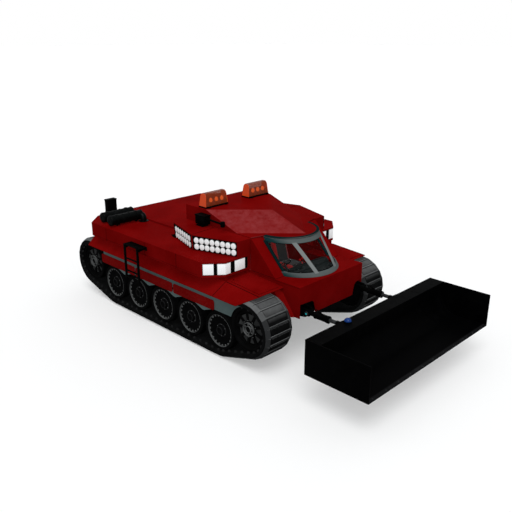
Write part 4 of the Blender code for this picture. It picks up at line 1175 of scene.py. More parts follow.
@dataclass
class LampWalls:
    """Round work lamps in two rows on black panels at the upper block's side and front walls."""
    tag: str
    side: int
    radius: float = 0.0640
    pitch: float = 0.1307
    row_up: float = 0.0705

    def line(self, share_up: float, out: float) -> list[Vector]:
        """Corners of the walls' line at one height, a distance outside the wall."""
        ring = [(1.945, -1.470), (2.970, -1.790), (4.050, -1.435), (WALL_X, -1.100)]
        ring += [(x, -y) for x, y in reversed(ring)]
        lean = (0.020, 0.010, 0.004, 0.004, 0.004, 0.010, 0.020, 0.040)
        a, b, c = moved_in(ring, [d * (1 - share_up) - out for d in lean])[:3]
        z = DECK_Z + (BLOCK_Z - DECK_Z) * share_up
        return [Vector((p.x, -self.side * p.y, z)) for p in (a.lerp(b, 0.04), b, b.lerp(c, 0.98))]

    def build(self) -> None:
        """Build the panels, the lamps and the bracket behind them."""
        panel = Solid(TRIM_BLACK)
        panel.loft([self.line(v, 0.0008) + self.line(v, 0.020)[::-1] for v in (0.07, 0.95)])
        spots = []
        for wall, (count, shift) in enumerate(((7, 0.030), (8, 0.032))):
            ends = [self.line(v, 0.020)[wall + k] for v in (0.07, 0.95) for k in (0, 1)]
            along = (ends[1] - ends[0]).normalized()
            upward = (ends[2] + ends[3] - ends[0] - ends[1]).normalized()
            out = along.cross(upward).normalized() * -self.side
            middle = sum(ends, Vector()) / 4
            for k in range(count):
                for row in (-self.row_up, self.row_up):
                    point = middle + along * (shift + (k - (count - 1) / 2) * self.pitch) + upward * row
                    spots.append(Spot(point, out, along, (1.0, 1.075, 1.0)))
            if wall:
                panel.wear(HULL_RED).hull([ends[0].lerp(ends[1], u) + (ends[2] - ends[0]) * v + out * off
                                           for u in (0.002, 0.030) for v in (0.0, 1.0)
                                           for off in (-0.001, 0.0012)])
        panel.piece(f"lamp_panel_{self.tag}", Body.HULL, Slot.LAMP, f"lamp_bar_{self.tag}")
        bezel, lens, r = Solid(BEZEL_PALE), Solid(LAMP_WHITE), self.radius
        rim = [(r - 0.006, -0.002), (r - 0.001, -0.002), (r, 0.010), (r - 0.003, 0.0145), (r - 0.006, 0.012)]
        bezel.turned(rim, (0, 0, 0), (0, 0, 1), 28, ring=True)
        dome = [(0.0, -0.001), (r - 0.004, -0.001), (r - 0.004, 0.011), (r - 0.016, 0.0150),
                (r - 0.036, 0.0172), (0.0, 0.0180)]
        lens.turned(dome, (0, 0, 0), (0, 0, 1), 28)
        repeater.make(f"lamp_bezels_{self.tag}", bezel, spots, Body.HULL, Slot.LAMP)
        repeater.make(f"lamp_lenses_{self.tag}", lens, spots, Body.HULL, Slot.LAMP)
        bracket = Solid(TRIM_BLACK)
        foot = self.line(0.0, 0.004)[0]
        bracket.hull([foot + Vector(p) for p in ((-0.20, 0, 0.03), (0.01, 0.03, 0.0), (0.01, -0.03, 0.0),
                                                 (0.01, 0.0, 0.10), (-0.06, 0.03, 0.0),
                                                 (-0.06, -0.03, 0.0))])
        bracket.piece(f"lamp_bracket_{self.tag}", Body.HULL, Slot.BLACK)


@dataclass
class HeadLamps:
    """Three flat white lamps behind the deck's front wall, on a black lining."""
    tag: str
    side: int
    spans: tuple[Pair, ...] = ((-0.475, -0.246), (-0.171, 0.150), (0.266, 0.569))

    def strip(self, start: float, stop: float, depths: Pair) -> list[Pair]:
        """Plan of a strip along the wall.

        Args:
            start: where it starts, counted from the wall's corner.
            stop: where it stops.
            depths: how far its back and its face lie inside the wall's outside.

        Returns:
            The outline in (x, y).
        """
        outline = [(-0.930, -1.740), (-0.500, -2.190), (3.730, -2.190), (WALL_X, -1.800)]
        outline += [(x, -y) for x, y in reversed(outline)]
        ring: list[Vector] = []
        for depth in depths:
            before, corner, after = moved_in(outline, [depth] * len(outline))[2:5]
            ways = ((before - corner).normalized(), (after - corner).normalized())
            line = [corner + ways[d > 0] * abs(d) for d in (start, stop)]
            if start < 0 < stop:
                line.insert(1, corner)
            ring += line[::-1] if ring else line
        return [(p.x, -self.side * p.y) for p in ring]

    def build(self) -> None:
        """Build the lenses, with a raised rim round each, and the lining."""
        lens, rim, lining = Solid(HEAD_WHITE), Solid(BEZEL_PALE), Solid(TRIM_BLACK)
        low, high = DECK_Z - 0.287, DECK_Z - 0.043
        lining.prism(self.strip(-0.490, 0.652, (0.060, 0.0166)), (DECK_Z - 0.322, DECK_Z - 0.018), "Z")
        for start, stop in self.spans:
            rim.prism(self.strip(start, stop, (0.0190, 0.0060)), (low, high), "Z", 0.001)
            lens.prism(self.strip(start + 0.006, stop - 0.006, (0.0180, 0.0040)),
                       (low + 0.006, high - 0.006), "Z", 0.001)
        lens.piece(f"head_lamp_lenses_{self.tag}", Body.HULL, Slot.LAMP, f"head_lamps_{self.tag}")
        rim.piece(f"head_lamp_rims_{self.tag}", Body.HULL, Slot.LAMP)
        lining.piece(f"head_lamp_lining_{self.tag}", Body.HULL, Slot.BLACK)


@dataclass
class Beacon:
    """A long orange beacon with three reflectors, on a black foot."""
    tag: str
    side: int

    def build(self) -> None:
        """Build the foot, the shell and the reflectors."""
        y0, y1 = on_side(self.side, 0.34, 1.03)
        foot = Solid(TRIM_BLACK).box((2.330, 2.600), (y0, y1), (ROOF_Z, ROOF_Z + 0.030), 0.008)
        foot.box((2.338, 2.592), (y0 + 0.008, y1 - 0.008), (ROOF_Z + 0.026, ROOF_Z + 0.042), 0.004)
        for y in (y0 + 0.09, y1 - 0.09):
            foot.box((2.300, 2.630), (y - 0.025, y + 0.025), (ROOF_Z, ROOF_Z + 0.012), 0.003)
        foot.piece(f"beacon_foot_{self.tag}", Body.HULL, Slot.BLACK, f"beacon_base_{self.tag}")
        shell = Solid(BEACON_SHELL)
        rings = []
        for z, x_in, y_in in ((0.040, 0.0, 0.0), (0.150, 0.012, 0.010), (0.255, 0.025, 0.020),
                              (0.290, 0.034, 0.024), (0.318, 0.048, 0.028), (0.335, 0.068, 0.032)):
            outline = rounded((2.345 + x_in, y0 + 0.015 + y_in), (2.585 - x_in, y1 - 0.015 - y_in), 0.012, 5)
            rings.append([(x, y, ROOF_Z + z) for x, y in outline])
        shell.loft(rings)
        shell.piece(f"beacon_shell_{self.tag}", Body.HULL, Slot.BEACON, f"beacon_{self.tag}")
        mirror, ends, post = Solid(BEACON_MIRROR), Solid(BEACON_END), Solid(BEACON_POST)
        stem = [(0.0, 0.045), (0.052, 0.045), (0.046, 0.080), (0.018, 0.130), (0.018, 0.170),
                (0.034, 0.200), (0.0, 0.205)]
        bulb = [(0.0, 0.085), (0.030, 0.100), (0.042, 0.135), (0.030, 0.180), (0.0, 0.200)]
        middle_x, middle_y = 2.465, (y0 + y1) / 2
        for k in range(3):
            y = middle_y + (k - 1) * 0.170
            post.turned(stem, (middle_x, y, ROOF_Z), (0, 0, 1), 20)
            mirror.turned(bulb, (middle_x, y + 0.085, ROOF_Z), (0, 0, 1), 20)
        half = ((0.119, 0.038), (0.096, 0.252), (0.084, 0.292), (0.064, 0.318), (0.038, 0.334))
        outline = [*half, *((-x, z) for x, z in reversed(half))]
        for y, inward in ((y0 + 0.004, 1), (y1 - 0.004, -1)):
            ends.loft([[(middle_x + x, y + inward * (dy + 0.1 * z), ROOF_Z + z) for x, z in outline]
                       for dy in (-0.0040, 0.0060)])
        mirror.piece(f"beacon_reflectors_{self.tag}", Body.HULL, Slot.BEACON)
        post.piece(f"beacon_posts_{self.tag}", Body.HULL, Slot.BEACON)
        ends.piece(f"beacon_ends_{self.tag}", Body.HULL, Slot.BEACON)


class Lamps:
    """All lamps on both sides and at the rear, and the marker on the blade."""

    def build(self) -> None:
        """Build the tail lamps, each side, then the marker."""
        self.tail_lamps()
        for tag, side in SIDES:
            LampWalls(tag, side).build()
            HeadLamps(tag, side).build()
            Beacon(tag, side).build()
        self.marker()

    @staticmethod
    def tail_lamps() -> None:
        """Two round red lamps on each side of the deck's rear wall."""
        tail = Solid(TRIM_BLACK)
        for side in (RIGHT, LEFT):
            for y in (1.36, 1.52):
                foot, along = (-0.930, side * y, DECK_Z - 0.165), (-1, 0, 0)
                tail.wear(TRIM_BLACK).turned([(0.0, -0.002), (0.070, -0.002), (0.070, 0.010),
                                              (0.060, 0.014), (0.0, 0.014)], foot, along, 32)
                tail.wear(TAIL_RED).turned([(0.0, 0.012), (0.056, 0.012), (0.056, 0.020), (0.040, 0.026),
                                            (0.0, 0.028)], foot, along, 32)
        tail.piece("tail_lamps", Body.HULL, Slot.LAMP)

    @staticmethod
    def marker() -> None:
        """A blue dome on a black collar on the blade's top."""
        foot = (6.690, -1.030, BLADE_Z)
        collar = Solid(TRIM_BLACK)
        collar.turned([(0.0, 0.0), (0.085, 0.0), (0.085, 0.012), (0.074, 0.018), (0.0, 0.018)], foot,
                      (0, 0, 1), 40)
        collar.piece("marker_collar", Body.BLADE, Slot.MARKER)
        radius, rim, rise = 0.072, 0.022, 0.058
        dome = [(0.0, 0.012), (radius, 0.012), (radius, rim)]
        dome += [(radius * math.cos(math.radians(a)), rim + rise * math.sin(math.radians(a)))
                 for a in range(12, 90, 13)]
        dome.append((0.0, rim + rise))
        Solid(MARKER_BLUE).turned(dome, foot, (0, 0, 1),
                                  40).piece("marker_dome", Body.BLADE, Slot.MARKER, "marker_lamp")


@dataclass(frozen=True)
class Cushion:
    """One stuffed part of a seat: its side outline in (x, height over the floor) and its half width."""
    name: str
    half: float
    swell: float
    outline: tuple[Pair, ...]
    lined: bool = True
    nodes: tuple[str, ...] = ()


CUSHIONS = (Cushion("seat_cushion", 0.245, 0.022, ((3.635, 0.235), (4.145, 0.235), (4.150, 0.350),
                                                   (3.640, 0.340)), nodes=("seat",)),
            Cushion("seat_back", 0.240, 0.022, ((3.545, 0.290), (3.660, 0.300), (3.478, 0.955),
                                                (3.378, 0.955))),
            Cushion("head_rest", 0.135, 0.014, ((3.365, 0.985), (3.455, 0.985), (3.408, 1.120),
                                                (3.330, 1.120)), lined=False))


@dataclass
class Cab:
    """What shows through the windscreen: padded seats, dash, wheel and levers."""
    seat_y: float = 0.44
    voxel: float = 0.006
    quick_voxel: float = 0.012
    pressure: float = 4.0
    frames: int = 20
    fill: float = 0.8

    def build(self) -> None:
        """Build the seats and the controls."""
        for tag, side in SIDES:
            self.seat(tag, side * self.seat_y)
        self.controls()

    def pad(self, name: str, sections: Sequence[Sequence[Point]], swell: float) -> bpy.types.Object:
        """A stuffed pad, swollen by a cloth simulation under pressure.

        Args:
            name: the piece's name.
            sections: rings of the slack form.
            swell: most that a point may move.

        Returns:
            The pad, not yet settled on its body.
        """
        pad = Solid(SEAT_CLOTH).loft(sections, bevel=0.022).form(name)
        pad.data.transform(Matrix.Translation(ORIGIN))
        remesh = pad.modifiers.new("even", "REMESH")
        remesh.mode, remesh.use_smooth_shade = "VOXEL", True
        remesh.voxel_size = self.voxel
        self.apply(pad)
        start = [v.co.copy() for v in pad.data.vertices]
        cloth = pad.modifiers.new("air", "CLOTH")
        cloth.settings.use_pressure, cloth.settings.uniform_pressure_force = True, self.pressure
        cloth.settings.effector_weights.gravity = 0.0
        cloth.point_cache.frame_start, cloth.point_cache.frame_end = 1, self.frames
        for step in range(1, self.frames + 1):
            bpy.context.scene.frame_set(step)
        self.apply(pad)
        for vertex, home in zip(pad.data.vertices, start):
            move = vertex.co - home
            if move.length > swell:
                vertex.co = home + move * (swell / move.length)
        bpy.context.scene.frame_set(1)
        smooth = pad.modifiers.new("smooth", "SMOOTH")
        smooth.factor, smooth.iterations = 0.5, 4
        self.apply(pad)
        pad.data.shade_smooth()
        pad.data.materials.clear()
        pad.data.materials.append(palette(SEAT_CLOTH))
        return pad

    @staticmethod
    def apply(obj: bpy.types.Object) -> None:
        """Bake the live modifiers into the mesh."""
        plain = bpy.data.meshes.new_from_object(obj.evaluated_get(bpy.context.evaluated_depsgraph_get()))
        obj.modifiers.clear()
        obj.data = plain

    @staticmethod
    def line_middle(pad: bpy.types.Object, y: float) -> None:
        """Give a pad's middle panel the dark cloth, between its two side rolls."""
        pad.data.materials.append(palette(SEAT_MIDDLE))
        for face in pad.data.polygons:
            inside = abs(face.center.y - ORIGIN.y - y) < 0.160 and max(face.normal.x, face.normal.z) > 0.45
            face.material_index = int(inside)

    def seat(self, tag: str, y: float) -> None:
        """One seat: two cushions, a head rest, their frame and piping."""
        floor = CAB_FLOOR
        for form in CUSHIONS:
            slack = [[(x, y + dy, floor + z) for x, z in form.outline] for dy in (-form.half, 0.0, form.half)]
            pad = self.pad(f"{form.name}_{tag}", slack, form.swell)
            if form.lined:
                self.line_middle(pad, y)
            settle(pad, Body.HULL, Slot.SEAT, *(f"{node}_{tag}" for node in form.nodes))
        frame_part = Solid(CAB_MOULD)
        frame_part.box((3.70, 4.06), (y - 0.19, y + 0.19), (floor, floor + 0.22), 0.012)
        frame_part.box((3.64, 4.12), (y - 0.22, y + 0.22), (floor + 0.200, floor + 0.232), 0.008)
        for dy in (-0.06, 0.06):
            frame_part.rod((3.425, y + dy, floor + 0.90), (3.385, y + dy, floor + 1.02), 0.008, 12)
        frame_part.piece(f"seat_frame_{tag}", Body.HULL, Slot.CAB)
        piping = Solid(SEAT_MIDDLE)
        for dy in (-0.160, 0.160):
            for route in (((3.70, 0.368), (3.90, 0.374), (4.10, 0.372)),
                          ((3.640, 0.42), (3.585, 0.62), (3.525, 0.86))):
                piping.pipe([(x, y + dy, floor + z) for x, z in route], 0.006, 8)
        piping.piece(f"seat_piping_{tag}", Body.HULL, Slot.SEAT)

    def controls(self) -> None:
        """Dash with its cowl and screen hood, steering wheel, levers and knobs."""
        low, high, width = CAB_FLOOR, NOSE_Z - 0.026, (-0.69, 0.69)
        dash, knobs = Solid(CAB_MOULD), Solid(KNOB_RED)
        dash.wedge(((4.73, low), (5.04, low), (4.64, high - 0.06), (4.68, high - 0.012),
                    (5.14, high - 0.012), (5.15, high - 0.05)), width, 0.012)
        cowl = ((4.600, -0.060), (4.610, 0.020), (4.690, 0.042), (4.765, 0.051), (4.800, 0.024),
                (4.845, -0.030))
        dash.wedge([(x, NOSE_Z + z) for x, z in cowl], width, 0.008)
        dash.wedge(((4.70, high - 0.03), (4.82, high - 0.03), (4.74, high + 0.10), (4.80, high + 0.11)),
                   (-0.60, -0.20), 0.008)
        for x, y in ((4.60, -0.05), (4.57, 0.06)):
            dash.rod((x + 0.10, y, high - 0.05), (x, y, high + 0.14), 0.011, 12, lip=0.003)
            knobs.turned([(0.0, -0.030), (0.014, -0.026), (0.024, -0.008), (0.024, 0.010), (0.014, 0.024),
                          (0.0, 0.027)], (x, y, high + 0.150), (-0.4, 0, 1), 20)
        hub = Vector((4.485, -self.seat_y, high + 0.115))
        dash.pipe([(4.66, hub.y, high - 0.06), (4.56, hub.y, high + 0.05), (4.50, hub.y, high + 0.10)],
                  0.022, 14)
        dash.turned(arc((0.165, 0.0), 0.013, 0, 324, 10), hub, (-0.72, 0, 0.70), 48, ring=True)
        for k in range(3):
            a = math.radians(90 + 120 * k)
            dash.rod(hub, hub + Vector((0.70 * math.cos(a), math.sin(a), 0.72 * math.cos(a))) * 0.160,
                     0.010, 10)
        dash.piece("dash", Body.HULL, Slot.CAB, "console")
        knobs.piece("lever_knobs", Body.HULL, Slot.CAB)


@dataclass
class DeckGear:
    """Exhaust, intake, work camera, ladder and skirts."""
    muffler_x: float = 0.20
    ladder_x: Pair = (1.250, 1.750)
    ladder_y: float = -2.395
    deck_y: float = -2.190
    rungs: tuple[float, ...] = (1.240, 1.400, 1.700)
    skirt_y: float = 1.970
    skirt_spans: tuple[Pair, ...] = ((-0.490, 0.965), (1.005, 2.440), (2.480, 3.880))

    def build(self) -> None:
        """Build each of them."""
        self.exhaust()
        self.intake()
        self.work_camera()
        self.ladder()
        for tag, side in SIDES:
            self.skirts(tag, side)

    def exhaust(self) -> None:
        """Two mufflers with pressed bands, cross pipes and an elbow into the deck."""
        z = DECK_Z + 0.150
        pipe = Solid(EXHAUST_BLACK)
        for x, y0, y1 in ((-self.muffler_x, -2.06, -1.16), (self.muffler_x, -2.10, -1.16)):
            length = y1 - y0
            profile = [(0.0, 0.010), (0.050, 0.006), (0.056, 0.0), (0.100, 0.0), (0.122, 0.010),
                       (0.130, 0.026)]
            for k in range(1, 5):
                d = length * k / 5
                profile += [(0.122, d - 0.030), (0.122, d - 0.016), (0.131, d - 0.012), (0.131, d + 0.012),
                            (0.122, d + 0.016)]
            profile += [(0.122, length - 0.030), (0.130, length - 0.024), (0.122, length - 0.010),
                        (0.100, length), (0.0, length)]
            pipe.turned(profile, (x, y0, z), (0, 1, 0), 40)
            pipe.hoop((0.038, 0.050), (-0.004, 0.030), (x, y0, z), (0, 1, 0), 28)
        elbow_y = -1.19
        elbow = ((0.17, z), (0.255, z), (0.292, z - 0.011), (0.319, z - 0.038), (0.330, z - 0.075),
                 (0.330, DECK_Z + 0.012))
        pipe.pipe([(x, elbow_y, height) for x, height in elbow], 0.083, 24)
        pipe.turned([(0.0, 0.0), (0.125, 0.0), (0.125, 0.014), (0.098, 0.020), (0.0, 0.020)],
                    (0.33, elbow_y, DECK_Z), (0, 0, 1), 32)
        for y in (-1.90, -1.34):
            pipe.box((-0.335, 0.335), (y - 0.022, y + 0.022), (z - 0.105, z - 0.090), 0.003)
            for x in (-self.muffler_x, self.muffler_x):
                pipe.box((x - 0.05, x + 0.05), (y - 0.018, y + 0.018), (DECK_Z, z - 0.10), 0.003)
                pipe.hoop((0.124, 0.136), (-0.020, 0.020), (x, y, z), (0, 1, 0), 36)
        pipe.piece("exhaust_pipes", Body.HULL, Slot.BLACK, "exhaust")

    @staticmethod
    def intake() -> None:
        """A tall intake box with slats on its rear side and a rain lid."""
        box = Solid(TRIM_BLACK)
        box.box((-0.776, -0.630), (-1.600, -1.330), (DECK_Z, DECK_Z + 0.425), 0.008)
        box.box((-0.780, -0.620), (-1.610, -1.320), (DECK_Z + 0.415, DECK_Z + 0.445), 0.006)
        box.box((-0.790, -0.616), (-1.618, -1.312), (DECK_Z, DECK_Z + 0.014), 0.003)
        for k in range(9):
            z = DECK_Z + 0.080 + 0.034 * k
            for x in (-0.781, -0.634):
                slat = ((0.0, 0.0), (0.012, 0.0), (0.012, 0.018), (0.0, 0.006))
                box.wedge([(x + dx, z + dz) for dx, dz in slat], (-1.570, -1.360))
        box.piece("intake_box", Body.HULL, Slot.BLACK, "intake")

    @staticmethod
    def work_camera() -> None:
        """A work camera's housing on a foot, with its pointing arm."""
        z = BLOCK_Z + 0.190
        unit = Solid(TRIM_BLACK)
        unit.box((2.470, 2.790), (-1.262, -1.080), (BLOCK_Z + 0.050, BLOCK_Z + 0.262), 0.012)
        unit.box((2.462, 2.802), (-1.270, -1.074), (BLOCK_Z + 0.244, BLOCK_Z + 0.272), 0.006)
        unit.box((2.480, 2.720), (-1.250, -1.080), (BLOCK_Z, BLOCK_Z + 0.030), 0.006)
        unit.rod((2.60, -1.165, BLOCK_Z + 0.02), (2.60, -1.165, BLOCK_Z + 0.07), 0.060, 24)
        unit.rod((2.70, -1.160, z), (3.330, -1.208, z), 0.024, 20, lip=0.004)
        unit.rod((2.70, -1.160, z), (2.83, -1.170, z), 0.044, 24, lip=0.006)
        unit.rod((3.350, -1.210, z - 0.060), (3.350, -1.210, z + 0.060), 0.052, 28, lip=0.008)
        unit.rod((3.34, -1.209, z), (3.405, -1.214, z), 0.036, 20, lip=0.005)
        for k in range(5):
            unit.box((2.500 + 0.04 * k, 2.512 + 0.04 * k), (-1.248, -1.240),
                     (BLOCK_Z + 0.09, BLOCK_Z + 0.22), 0.002)
        unit.piece("work_camera_unit", Body.HULL, Slot.BLACK, "work_camera")

    def ladder(self) -> None:
        """The boarding ladder with a ribbed platform and ribbed rungs."""
        y, wall = self.ladder_y, self.deck_y
        low, top = (corner[2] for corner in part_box("ladder"))
        left, right = self.ladder_x
        part = Solid(TRIM_BLACK)
        part.box((left - 0.030, right + 0.100), (y - 0.020, wall), (top - 0.028, top - 0.006), 0.004)
        for k in range(12):
            x = left + 0.052 * k
            part.box((x - 0.008, x + 0.008), (y - 0.010, wall - 0.010), (top - 0.008, top), 0.002)
        part.box((left - 0.030, right + 0.100), (wall - 0.032, wall - 0.0005), (top - 0.090, top - 0.020),
                 0.004)
        for x in self.ladder_x:
            part.prism(rounded((x - 0.033, y - 0.019), (x + 0.033, y + 0.019), 0.010, 4),
                       (low, top - 0.020), "Z")
            brace = ((y + 0.01, top - 0.03), (wall - 0.005, top - 0.03), (y + 0.01, top - 0.12),
                     (wall - 0.005, top - 0.085))
            part.hull([(x + dx, py, pz) for dx in (-0.008, 0.008) for py, pz in brace])
        for z in self.rungs:
            part.rod((left, y, z), (right, y, z), 0.0185, 16)
            for k in range(8):
                x = left + 0.050 + 0.400 * k / 7
                part.rod((x - 0.012, y, z), (x + 0.012, y, z), 0.0215, 16, lip=0.003)
        part.piece("boarding_ladder", Body.HULL, Slot.BLACK, "ladder")

    def skirts(self, tag: str, side: int) -> None:
        """Three round-cornered skirt panels on a rail, with brackets."""
        part, y = Solid(SKIRT_RED), self.skirt_y
        for x0, x1 in self.skirt_spans:
            part.wear(SKIRT_RED).prism(rounded((x0, 1.045), (x1, 1.275), 0.045, 5),
                                       (side * y, side * (y + 0.016)), "Y", 0.003)
            part.wear(TRIM_BLACK).box((x0 + 0.660, x0 + 0.740), on_side(side, 1.2003, y - 0.020),
                                      (1.090, 1.190), 0.004)
        part.box((-0.390, 3.780), on_side(side, y - 0.045, y - 0.001), (1.110, 1.170), 0.004)
        part.piece(f"skirt_panels_{tag}", Body.HULL, Slot.RED, f"skirts_{tag}")
        spots = [Spot((x, side * (y + 0.016), 1.140), (0, side, 0)) for x0, x1 in self.skirt_spans
                 for x in (x0 + 0.18, x0 + 0.30, x1 - 0.30, x1 - 0.18)]
        repeater.make(f"skirt_bolts_{tag}", hex_bolt(SKIRT_RED, 0.013, 0.009), spots, Body.HULL, Slot.RED)


@dataclass
class FrontGear:
    """Push arms with their pins, and the bucket blade."""
    pivot_x: float = 5.640
    tilt_x: float = 6.470
    pin_z: float = 1.225
    arm_y: float = 0.922
    arm_half: float = 0.055
    blade_low: float = 0.680
    blade_x: Pair = (6.595, 8.032)
    blade_half: float = 2.178
    sheet: float = 0.026
    curve: float = 0.42

    def build(self) -> None:
        """Build the arms, the pins and the blade."""
        self.arms()
        self.pins()
        self.blade()

    def arms(self) -> None:
        """Two round push arms with collars, eyes and the tilt shaft."""
        pivot, tilt, z, half = self.pivot_x, self.tilt_x, self.pin_z, self.arm_half
        part = Solid(TRIM_BLACK)
        part.rod((tilt, -1.062, z), (tilt, 1.062, z), 0.034, 32, lip=0.004)
        for side in (RIGHT, LEFT):
            y = side * self.arm_y
            for x, bore, radius, ease, drop in ((pivot, 0.0345, 0.075, 0.005, 0.006),
                                                (tilt, 0.030, 0.070, 0.004, 0.005)):
                eye = [(bore, -half), (radius - ease, -half), (radius, drop - half), (radius, half - drop),
                       (radius - ease, half), (bore, half)]
                part.turned(eye, (x, y, z), (0, 1, 0), 40, ring=True)
            part.rod((pivot + 0.060, y, z), (pivot + 0.160, y, z), 0.052, 28)
            barrel = [(0.0, 0.0), (0.060, 0.0), (0.072, 0.008), (0.078, 0.016), (0.078, 0.048),
                      (0.072, 0.054), (0.072, 0.320), (0.078, 0.326), (0.078, 0.372), (0.070, 0.380),
                      (0.044, 0.380), (0.0, 0.380)]
            part.turned(barrel, (pivot + 0.150, y, z), (1, 0, 0), 40)
            part.wear(ROD_STEEL).rod((pivot + 0.520, y, z), (tilt - 0.110, y, z), 0.040, 32)
            part.wear(TRIM_BLACK).rod((tilt - 0.125, y, z), (tilt - 0.060, y, z), 0.052, 28, lip=0.006)
            part.box((pivot + 0.25, pivot + 0.31), (y - 0.02, y + 0.02), (z + 0.060, z + 0.098), 0.006)
            hose = ((0.28, 0.095), (0.20, 0.115), (0.08, 0.105), (0.0, 0.090))
            part.pipe([(pivot + dx, y, z + dz) for dx, dz in hose], 0.010, 10)
        part.piece("push_arm_pair", Body.ARMS, Slot.BLACK, "push_arms")

    def pins(self) -> None:
        """Pin heads and grease caps at the pivots."""
        caps, blue = Solid(PIN_STEEL), Solid(BLUE_CAP)
        for side in (RIGHT, LEFT):
            foot = (self.pivot_x, side * (self.arm_y + self.arm_half + 0.037), self.pin_z)
            caps.turned([(0.0, 0.0), (0.046, 0.0), (0.046, 0.006), (0.040, 0.011), (0.0, 0.012)], foot,
                        (0, side, 0), 24)
            blue.turned([(0.0, 0.008), (0.018, 0.008), (0.018, 0.018), (0.012, 0.024), (0.0, 0.025)], foot,
                        (0, side, 0), 16)
        caps.piece("pivot_caps", Body.HULL, Slot.BLACK)
        blue.piece("pivot_grease_caps", Body.HULL, Slot.BLACK)

    def blade(self) -> None:
        """The bucket: smooth curved back, end plates, boxed rear bays, edge and tilt ears."""
        low, (x0, x1), half, t, curve = self.blade_low, self.blade_x, self.blade_half, self.sheet, self.curve
        back_x, steps = x0 + 0.349, 24
        centre = (back_x + curve, low + t + curve)
        section = [(x1, low), (x1, low + 0.012), (x1 - 0.05, low + t)]
        section += arc(centre, curve, 270, 180, steps + 1)
        section += [(back_x, BLADE_Z), (x0, BLADE_Z), (x0, BLADE_Z - t), (back_x - t, BLADE_Z - t),
                    (back_x - t, low + t + curve)]
        section += arc(centre, curve + t, 180, 250, steps + 1)[1:]
        section.append((section[-1][0], low))
        part = Solid(BLADE_BLACK)
        part.prism(section, (-half + t, half - t))
        for side in (RIGHT, LEFT):
            part.box((x0, x1), on_side(side, half - t, half), (low, BLADE_Z), 0.003)
            rear = [(x0, BLADE_Z - t), (back_x - t, BLADE_Z - t), (back_x - t, low + t + curve),
                    (back_x + 0.02, low + 0.17), (back_x + 0.14, low + 0.05), (back_x + 0.24, low),
                    (x0, low)]
            part.prism(rear, on_side(side, 0.800, 1.040), "Y", 0.003)
            for y in (self.arm_y - self.arm_half - 0.038, self.arm_y + 0.063):
                ear = [(x0 + 0.03, 1.10), (x0 + 0.03, 1.36), (6.450, 1.295), (6.400, 1.25), (6.400, 1.20),
                       (6.450, 1.155)]
                part.prism(ear, on_side(side, y, y + 0.030), "Y", 0.004)
        part.piece("bucket_blade_shell", Body.BLADE, Slot.BLACK, "blade")
        trim = Solid(EDGE_STEEL)
        edge = ((-0.070, t + 0.001), (-0.002, 0.013), (-0.070, t + 0.006), (0.004, 0.004))
        trim.wedge([(x1 + dx, low + dz) for dx, dz in edge], (-half + 0.004, half - 0.004))
        trim.piece("cutting_edge", Body.BLADE, Slot.BLACK)
        seams = Solid(TRIM_BLACK)
        for y in (-0.726, 0.726):
            seams.box((back_x - 0.001, back_x + 0.003), (y - 0.006, y + 0.006),
                      (low + 0.46, BLADE_Z - 0.01), 0.001)
        seams.piece("blade_seams", Body.BLADE, Slot.BLACK)
        spots = [Spot((x1 - 0.036, y, low + 0.020), (0.21, 0, 1))
                 for y in (-2.0 + 0.4 * k for k in range(11))]
        repeater.make("edge_bolts", hex_bolt(PIN_STEEL, 0.010, 0.006), spots, Body.BLADE, Slot.BLACK)


